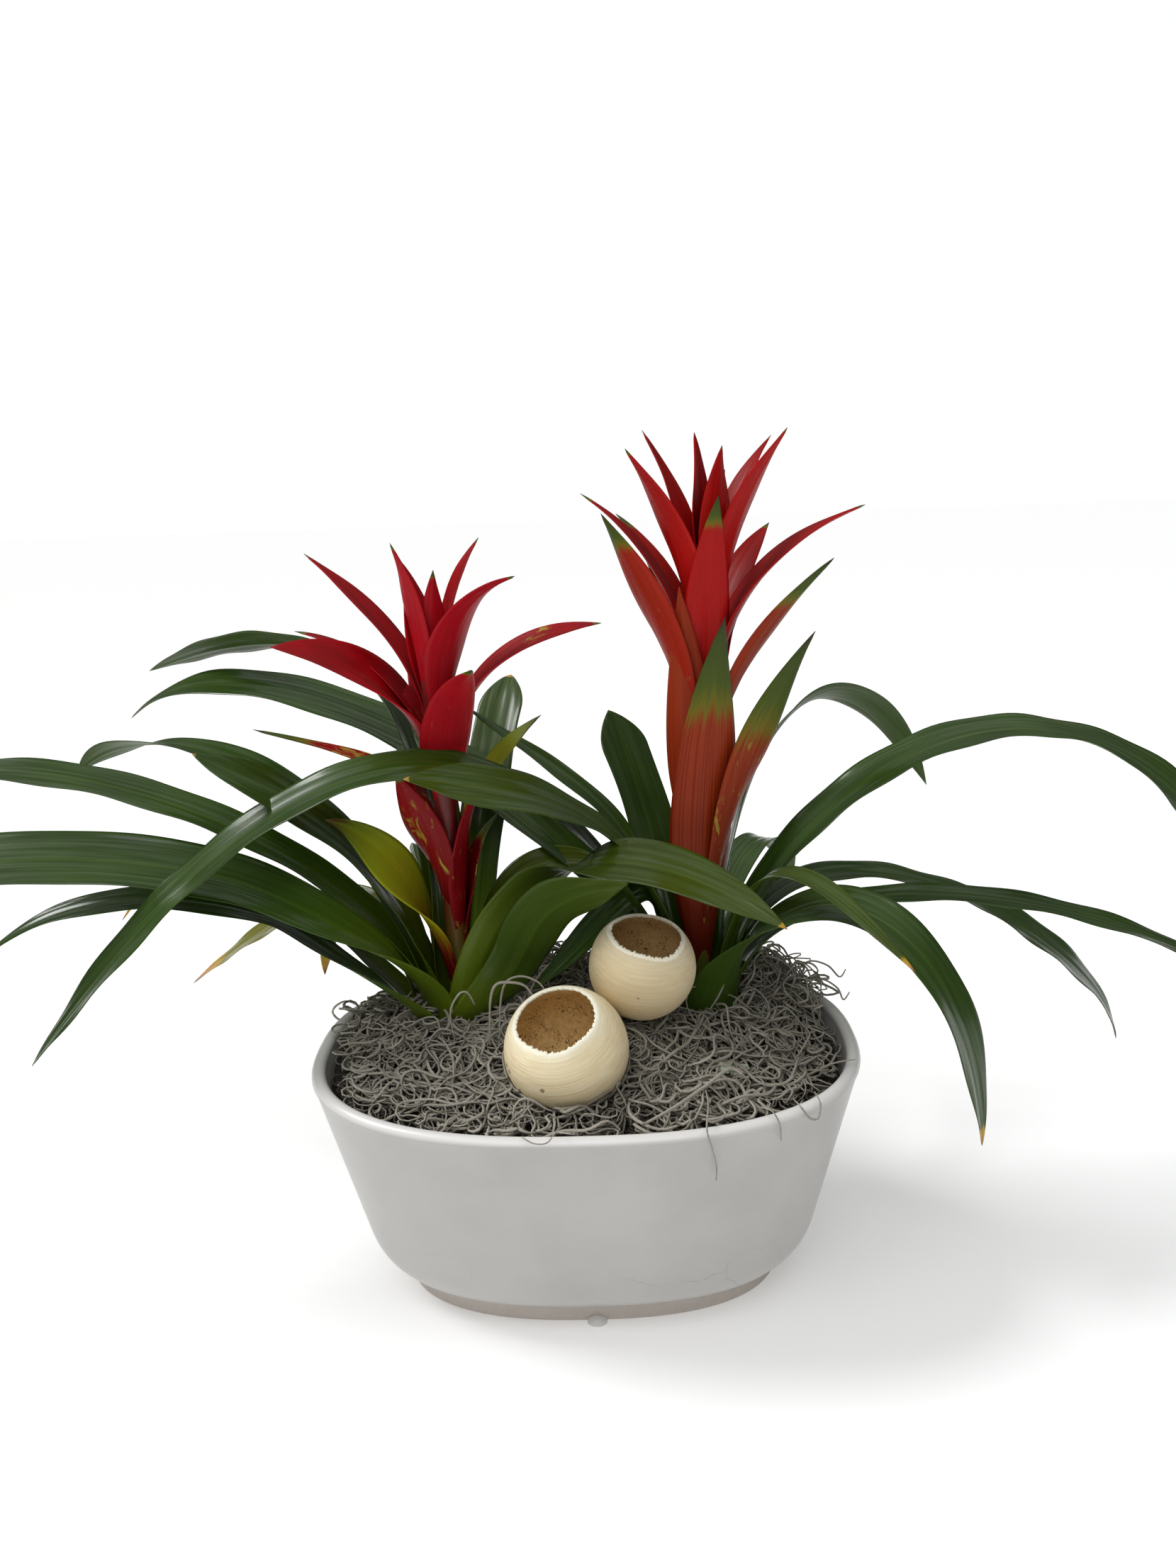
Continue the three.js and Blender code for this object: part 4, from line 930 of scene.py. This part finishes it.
def moss_strands(count, seed, lift, layer, lengths, thickness, region=None, steps=15):
    """Curled strands: the heading's rate of change swings along the strand, so that it hooks and loops.

    With s the share of the length: heading = h + b s + c sin(2 pi f s + p) + d s^5, so that the end hooks,
    and height = moss + layer + lift sin(pi s^e) + w sin(3 pi s + p). lift, layer, lengths and thickness are
    ranges; thickness is the tube's radius. region is a place in plan and how far strands spread round it.
    """
    random = np.random.default_rng(seed)
    many = count * 3
    turn, spread = random.uniform(0, 2 * np.pi, many), np.sqrt(random.uniform(0, 1, many))
    x, y = oval(13.0, turn)
    x, y = x * spread, y * spread
    if region is not None:
        x = random.normal(region[0], region[2], many)
        y = random.normal(region[1], region[2], many)
    length = random.uniform(*lengths, many)
    share = np.linspace(0, 1, steps)[None]

    def draw(low, high):
        return random.uniform(low, high, many)[:, None]

    bend = random.normal(0, 2.6, many)[:, None]
    curl, rate, phase = draw(0.4, 2.6), draw(0.5, 1.4), draw(0, 2 * np.pi)
    hook = random.normal(0, 3.2, many)[:, None] * share ** 5
    heading = draw(0, 2 * np.pi) + bend * share + curl * np.sin(2 * np.pi * rate * share + phase)
    heading = heading + hook
    step = (length / (steps - 1))[:, None]
    dx, dy = np.cos(heading) * step, np.sin(heading) * step
    px = x[:, None] + np.cumsum(dx, 1) - dx[:, :1]
    py = y[:, None] + np.cumsum(dy, 1) - dy[:, :1]
    rise = draw(*lift) * np.sin(np.pi * share ** draw(0.6, 1.6))
    sway = draw(-1.2, 1.2) * np.sin(3 * np.pi * share + phase)
    pz = moss_height(px, py) + draw(*layer) + rise + sway
    kept = np.all(inside_rim(px, py, WALL + 1.6) | (pz > RIM_HEIGHT + 1.2), 1)
    kept &= np.all(inside_rim(px, py, -7.0), 1)
    for plant in PLANTS.values():
        kept &= np.all(np.hypot(px - plant["place"][0], py - plant["place"][1]) > 13, 1)
    paths = np.stack([px, py, pz], -1)[kept][:count]
    paths = clear_of_pods(paths, 0.9)
    tone = random.beta(2.2, 2.2, len(paths))
    # Painted shade: a strand's tone is random, made darker the lower it lies in the moss and lighter the
    # higher it stands over it.
    over = paths[..., 2].mean(1) - moss_height(paths[..., 0], paths[..., 1]).mean(1)
    light = np.clip(tone * 0.4 + smooth(over, -3.5, 2.5) * 0.85 - 0.22, 0, 1)
    strand = np.stack([light, random.uniform(0, 1, len(paths))], 1)
    thick = random.uniform(*thickness, len(paths))[:, None]
    radius = thick * (0.35 + 0.65 * np.sin(np.pi * (0.08 + 0.84 * share)) ** 0.6)
    return paths, radius, strand


def ball_rings(radius, angle, turn):
    """Rings of a ball about +Z, at an angle from its top."""
    level = radius * np.sin(angle)
    return np.stack([level * np.cos(turn), level * np.sin(turn), radius * np.cos(angle)], -1)


def pod_skin(centre, radius, mouth, wall, facing, seed):
    """A ball with an open mouth: the outer wall from foot to lip, over it, and back inside to the foot.

    The lip's angle wavers round the mouth as a sum of cosines, coarse and fine, so that it looks broken.
    """
    turn = around(320)
    ragged = waves(turn, (2, 3, 5), seed, 0.3) + 0.35 * waves(turn, (19, 31, 47, 61, 83), seed + 1, 0.1)
    opening = np.arcsin((mouth + 0.3 * wall) / radius) + ragged / radius
    inner = radius - wall
    crumbs = 0.75 * waves(turn, (29, 43, 61, 89, 127), seed + 2, 0.1)
    inner_opening = np.arcsin((mouth - 0.35 * wall) / (inner + 0.6 * wall)) + (ragged + crumbs) / inner
    share = np.linspace(0, 1, POD_OUTSIDE)[:, None]
    out_angle = lerp(np.pi * 0.994, opening, share)
    in_angle = lerp(inner_opening, np.pi * 0.994, share[::2])
    lump = 1 + 0.006 * np.sin(3 * out_angle + turn) * np.sin(2 * turn + seed)
    outer = ball_rings(radius * lump, out_angle, turn)
    pitted = inner + 0.25 * waves(turn, (9, 14, 22), seed + 3, 0.2) * np.sin(5 * in_angle)
    pitted = pitted + 0.6 * wall * np.exp(-(in_angle - inner_opening) / 0.1)
    hollow = ball_rings(pitted, in_angle, turn)
    blend = np.linspace(0, 1, POD_LIP + 2)[1:-1]
    bulge = 0.35 * np.sin(np.pi * blend)[:, None, None] * unit(outer[-1] * [0, 0, 1] + 1e-9)
    lip = lerp(outer[-1], hollow[0], blend[:, None, None]) + bulge
    rings = np.concatenate([outer, lip, hollow])
    axis = unit(np.array(facing, float))
    across = unit(np.cross(axis, [0.0, 1.0, 0.0]))
    rings = rings @ np.stack([across, np.cross(axis, across), axis]) + np.array(centre)
    inside = np.concatenate([np.zeros(POD_OUTSIDE), blend, np.ones(POD_INSIDE)])[:, None] + 0 * turn
    distance = [(1 - share[:, 0]) * 2.4 * radius, np.zeros(POD_LIP), share[::2, 0] * 2.4 * inner]
    distance = np.concatenate(distance)[:, None] + 0 * turn
    reach = np.repeat([1.2, 2.0], [POD_OUTSIDE + POD_LIP, POD_INSIDE])[:, None]
    lip_zone = np.clip(1 - distance / reach, 0, 1)
    zone = np.stack([inside, lip_zone, np.clip(1 - distance / 9, 0, 1) ** 1.5 * (1 - inside)], -1)
    polar = np.concatenate([out_angle, np.broadcast_to(opening, (POD_LIP, len(turn))), in_angle]) * radius
    lay = np.stack([polar, np.broadcast_to(radius * np.sin(turn) * 2, inside.shape), 0 * inside + seed], -1)
    return round_skin(rings, {"zone": zone, "lay": lay})


def flake_skin(centre, size, seed):
    """A lichen flake: a thin ruffled disc whose rim waves up and down in three to nine lobes."""
    random = np.random.default_rng(seed)
    turn = around(72)
    share = np.linspace(0.05, 1, 12)[:, None]
    rim = size * (1 + 0.28 * waves(turn, (3, 5, 9), seed, 0.3))
    x, y = share * rim * np.cos(turn), share * rim * np.sin(turn) * 0.7
    z = size * share ** 2 * (0.28 * waves(turn, (4, 7, 9), seed + 1, 0.3) + 0.1)
    tilt = Matrix.Rotation(random.uniform(0, 6.3), 3, "Z") @ Matrix.Rotation(random.uniform(0.1, 0.7), 3, "X")
    top = np.stack([x, y, z + 0.25 * (1 - share ** 2)], -1)
    low = np.stack([x, y, z - 0.2 * (1 - share ** 2) - 0.05], -1)
    rings = np.concatenate([top, low[::-1]]) @ np.array(tilt).T + np.array(centre)
    return round_skin(rings, {})


# Plants: one piece for each leaf, and one for each bloom with its stem.
leaf_green = leaf_finish()
for side, rows in LEAVES.items():
    for number, row in enumerate(rows, 1):
        seed = number + (40 if side == "right" else 0)
        skin = leaf_skin(PLANTS[side], row, seed)
        make_piece(f"{side}_blade_{number:02d}", skin, leaf_green, [f"{side}_leaf_{number:02d}"])

# Each red: face, edge, back (partly painted sheen), ribbed, and deep, the dark of the ribbed lines and of the
# painted shade at the bracts' feet and on the lower bracts.
REDS = {
    "left": bract_finish(
        "crimson_satin", (0.21, 0.0005, 0.002), (0.35, 0.001, 0.005), (0.47, 0.008, 0.018),
        (0.20, 0.004, 0.002), (0.04, 0.001, 0.001),
    ),
    "right": bract_finish(
        "scarlet_satin", (0.23, 0.0005, 0.0005), (0.35, 0.002, 0.001), (0.46, 0.008, 0.006),
        (0.27, 0.040, 0.007), (0.085, 0.007, 0.001),
    ),
}
STEM_REDS = {"left": (0.18, 0.002, 0.003), "right": (0.22, 0.008, 0.002)}
for side, rows in BRACTS.items():
    skins = [bract_skin(PLANTS[side], row, 100 + number) for number, row in enumerate(rows)]
    make_piece(f"{side}_bracts", joined(skins), REDS[side], [f"{side}_bloom"])
    stem_red = stem_finish(f"{side}_stem_red", STEM_REDS[side])
    make_piece(f"{side}_stem", stem_skin(PLANTS[side]), stem_red)

# Pot and filling.
glaze = pot_finish()
make_piece("pot_body", pot_skin(), glaze, ["pot"])
make_piece("pot_drip", bead_skin(), drip_finish())
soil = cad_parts["soil"]
for place in soil.material_slots:
    place.material = soil_finish()

make_piece("moss_mat", bed_skin(), bed_finish(), ["moss"])
strand_grey = strand_finish()
deep = moss_strands(1250, 21, (0.5, 3.0), (-4.5, -1.5), (22, 46), (0.35, 0.6))
loose = moss_strands(900, 22, (1.5, 6.0), (-2.0, 1.2), (26, 58), (0.42, 0.78))
raised = moss_strands(300, 23, (3.0, 9.0), (-0.5, 1.8), (26, 54), (0.5, 0.9))
bold = moss_strands(150, 26, (1.0, 5.0), (0.8, 2.6), (46, 96), (0.65, 0.95), None, 24)
tuft = moss_strands(220, 24, (5.0, 17.0), (-2.0, 2.0), (26, 50), (0.4, 0.75), (84, 42, 17))
corner = moss_strands(150, 25, (3.0, 11.0), (-1.0, 2.0), (24, 46), (0.45, 0.85), (-96, 24, 18))
behind = moss_strands(130, 27, (4.0, 17.0), (0.0, 12.0), (24, 50), (0.4, 0.75), (-10, 46, 10))
for name, (paths, radius, strand) in {
    "moss_deep": deep, "moss_loose": loose, "moss_bold": bold,
    "moss_raised": [np.concatenate(group) for group in zip(raised, tuft, corner, behind)],
}.items():
    make_piece(name, tubes(paths, radius, 3, strand), strand_grey)

# Strands placed one by one: radius and knots. Each span between knots has so many steps.
STRAY_STEPS = 9
STRAYS = [
    (1.1, [(68, -48, 118), (62, -46, 120), (51, -56, 118), (37, -69, 116), (24, -78, 114)]),
    (0.6, [(54, -51, 117), (50, -58, 116), (49, -66, 116), (45, -74, 113)]),
    (0.4, [(51, -56, 117), (51, -70, 118), (49, -87, 117), (51, -86, 108), (53, -83, 98), (53, -81, 90)]),
    (0.35, [
        (-24, -84, 114), (-23, -90, 117), (-19, -91, 115), (-14, -91, 115), (-11, -90, 118),
        (-9, -84, 118),
    ]),
    (0.45, [
        (86, -66, 117), (88, -72, 117), (92, -71, 111), (96, -68, 109), (97, -67, 115), (95, -64, 119),
    ]),
    (0.35, [(72, -72, 117), (76, -77, 118), (79, -77, 112), (80, -74, 103)]),
    (0.4, [(102, -36, 114), (110, -35, 116), (118, -33, 116)]),
    (0.6, [
        (-112, 46, 108), (-120, 44, 114), (-126, 44, 112), (-129, 46, 107), (-126, 48, 102),
        (-121, 48, 105),
    ]),
    (0.55, [(-59, -14, 121), (-60, -13, 134), (-56, -12, 142), (-52, -12, 143), (-49, -12, 137)]),
    (0.8, [
        (-74, 10, 121), (-72, 14, 124), (-65, 5, 126), (-62, -7, 125), (-66, -12, 122), (-63, -18, 122),
        (-58, -29, 120), (-56, -43, 117),
    ]),
    (0.7, [
        (-42, -22, 122), (-41, -20, 141), (-38, -20, 150), (-31, -20, 151), (-25, -20, 149),
        (-21, -21, 143),
    ]),
    (0.55, [
        (-38, -18, 121), (-37, -16, 138), (-34, -16, 149), (-27, -16, 152), (-19, -17, 149),
        (-15, -18, 142),
    ]),
    (0.6, [(56, 4, 119), (59, 5, 124), (63, 5, 131), (66, 6, 140), (64, 8, 145)]),
    (0.5, [(108, 46, 116), (118, 48, 117), (126, 48, 112), (129, 47, 106), (132, 47, 110)]),
    (0.5, [(104, 50, 120), (112, 50, 126), (121, 49, 124), (127, 48, 118), (130, 48, 122)]),
    (0.5, [(98, 40, 124), (103, 36, 131), (110, 34, 132), (114, 36, 127), (111, 39, 123)]),
]


def stray_skin(radius, knots):
    """One listed strand: a Catmull-Rom curve through its knots that thins to both ends."""
    knots = np.array([knots[0], *knots, knots[-1]], float)
    t = np.linspace(0, 1, STRAY_STEPS, endpoint=False)[:, None]
    spans = []
    for a, b, c, d in zip(knots, knots[1:], knots[2:], knots[3:]):
        bent = (2 * a - 5 * b + 4 * c - d) * t ** 2 + (3 * b - a - 3 * c + d) * t ** 3
        spans.append(0.5 * (2 * b + (c - a) * t + bent))
    path = np.concatenate([*spans, knots[-1:]])
    share = np.linspace(0, 1, len(path))
    thick = radius * (0.3 + 0.7 * np.sin(np.pi * (0.05 + 0.9 * share)) ** 0.5)
    return tubes(path[None], thick[None], 4, np.array([[0.82, 0.4]]))


strays = joined([stray_skin(radius, knots) for radius, knots in STRAYS])
make_piece("moss_strays", strays, strand_grey)

pod_shell = pod_finish()
for name, pod in PODS.items():
    make_piece(f"pod_{name}_shell", pod_skin(*pod), pod_shell, [f"seed_pod_{name}"])

# Lichen flakes: place in plan, size, and a seed.
FLAKES = [(56, -27, 5.2, 1), (62, -30, 4.4, 2), (67, -33, 5.0, 3), (60, -37, 3.4, 4), (-70, -50, 3.2, 5)]
skins = [flake_skin((x, y, moss_height(x, y) + 4.5), size, seed) for x, y, size, seed in FLAKES]
make_piece("lichen", joined(skins), lichen_finish())

# Floor, light and camera.
floor_mesh = bpy.data.meshes.new("floor")
floor_mesh.from_pydata([(-8, -8, 0), (8, -8, 0), (8, 8, 0), (-8, 8, 0)], [], [(0, 1, 2, 3)])
floor = add_object("floor", floor_mesh)
pale = Finish("pale_floor")
floor_mesh.materials.append(pale.set(
    Base_Color=(0.9, 0.9, 0.9), Roughness=0.8, Specular_IOR_Level=0.05,
    Emission_Color=(1.0, 1.0, 1.0), Emission_Strength=0.22,
))

world = bpy.context.scene.world or bpy.data.worlds.new("studio")
bpy.context.scene.world = world
world.use_nodes = True
sky = world.node_tree
background = sky.nodes["Background"]
coordinates = sky.nodes.new("ShaderNodeTexCoord")
split = sky.nodes.new("ShaderNodeSeparateXYZ")
gradient = sky.nodes.new("ShaderNodeValToRGB")
gradient.color_ramp.elements.new(0.4)
for element, (position, level) in zip(gradient.color_ramp.elements, ((0.0, 0.06), (0.4, 0.16), (1.0, 0.75))):
    element.position = position
    element.color = (level, level, level * 0.995, 1)
seen = sky.nodes.new("ShaderNodeLightPath")
choice = sky.nodes.new("ShaderNodeMix")
choice.data_type = "RGBA"
choice.inputs[7].default_value = (1, 1, 1, 1)
sky.links.new(coordinates.outputs["Generated"], split.inputs[0])
sky.links.new(split.outputs["Z"], gradient.inputs[0])
sky.links.new(seen.outputs["Is Camera Ray"], choice.inputs[0])
sky.links.new(gradient.outputs["Color"], choice.inputs[6])
sky.links.new(choice.outputs[2], background.inputs["Color"])


def soft_light(name, place, target, size, power):
    """A rectangular area light at place that shines on target; size is its width and height."""
    light = bpy.data.lights.new(name, "AREA")
    light.shape = "RECTANGLE"
    light.size, light.size_y = size
    light.energy = power
    lamp = add_object(name, light)
    aim = np.array(target) - np.array(place)
    back = -aim / np.linalg.norm(aim)
    right = unit(np.cross([0, 0, 1], back))
    rows = np.stack([right, np.cross(back, right), back], 1)
    lamp.matrix_world = Matrix.Translation(place) @ Matrix(rows.tolist()).to_4x4()


soft_light("fill", (-0.25, -1.3, 1.0), (0, 0, 0.15), (1.0, 1.0), 3.4)
soft_light("strip", (-0.15, -0.7, 1.35), (0, 0, 0.2), (1.3, 0.3), 3.6)
sun = bpy.data.lights.new("key", "SUN")
sun.energy = 1.8
sun.angle = 0.38
key = add_object("key", sun)
key.rotation_euler = np.radians((-6.0, -40.0, 0.0))

# The camera stands before the pot, a little to its right, looks down, and is slightly rolled.
CAMERA_PLACE = (0.0161, -0.4981, 0.3696)
PITCH, AZIMUTH, ROLL = np.radians(15.1), np.radians(1.21), np.radians(-2.13)
view = np.array([-np.sin(AZIMUTH) * np.cos(PITCH), np.cos(AZIMUTH) * np.cos(PITCH), -np.sin(PITCH)])
level = np.array([np.cos(AZIMUTH), np.sin(AZIMUTH), 0.0])
raised_up = np.cross(level, view)
right = np.cos(ROLL) * level + np.sin(ROLL) * raised_up
above = -np.sin(ROLL) * level + np.cos(ROLL) * raised_up
camera = add_object("camera", bpy.data.cameras.new("camera"))
camera.data.lens = 27.03
camera.data.sensor_width = 36.0
camera.data.clip_start = 0.01
turned = Matrix(np.stack([right, above, -view], 1).tolist()).to_4x4()
camera.matrix_world = Matrix.Translation(CAMERA_PLACE) @ turned
bpy.context.scene.camera = camera
bpy.context.scene.view_settings.view_transform = "Standard"

bpy.context.view_layer.update()
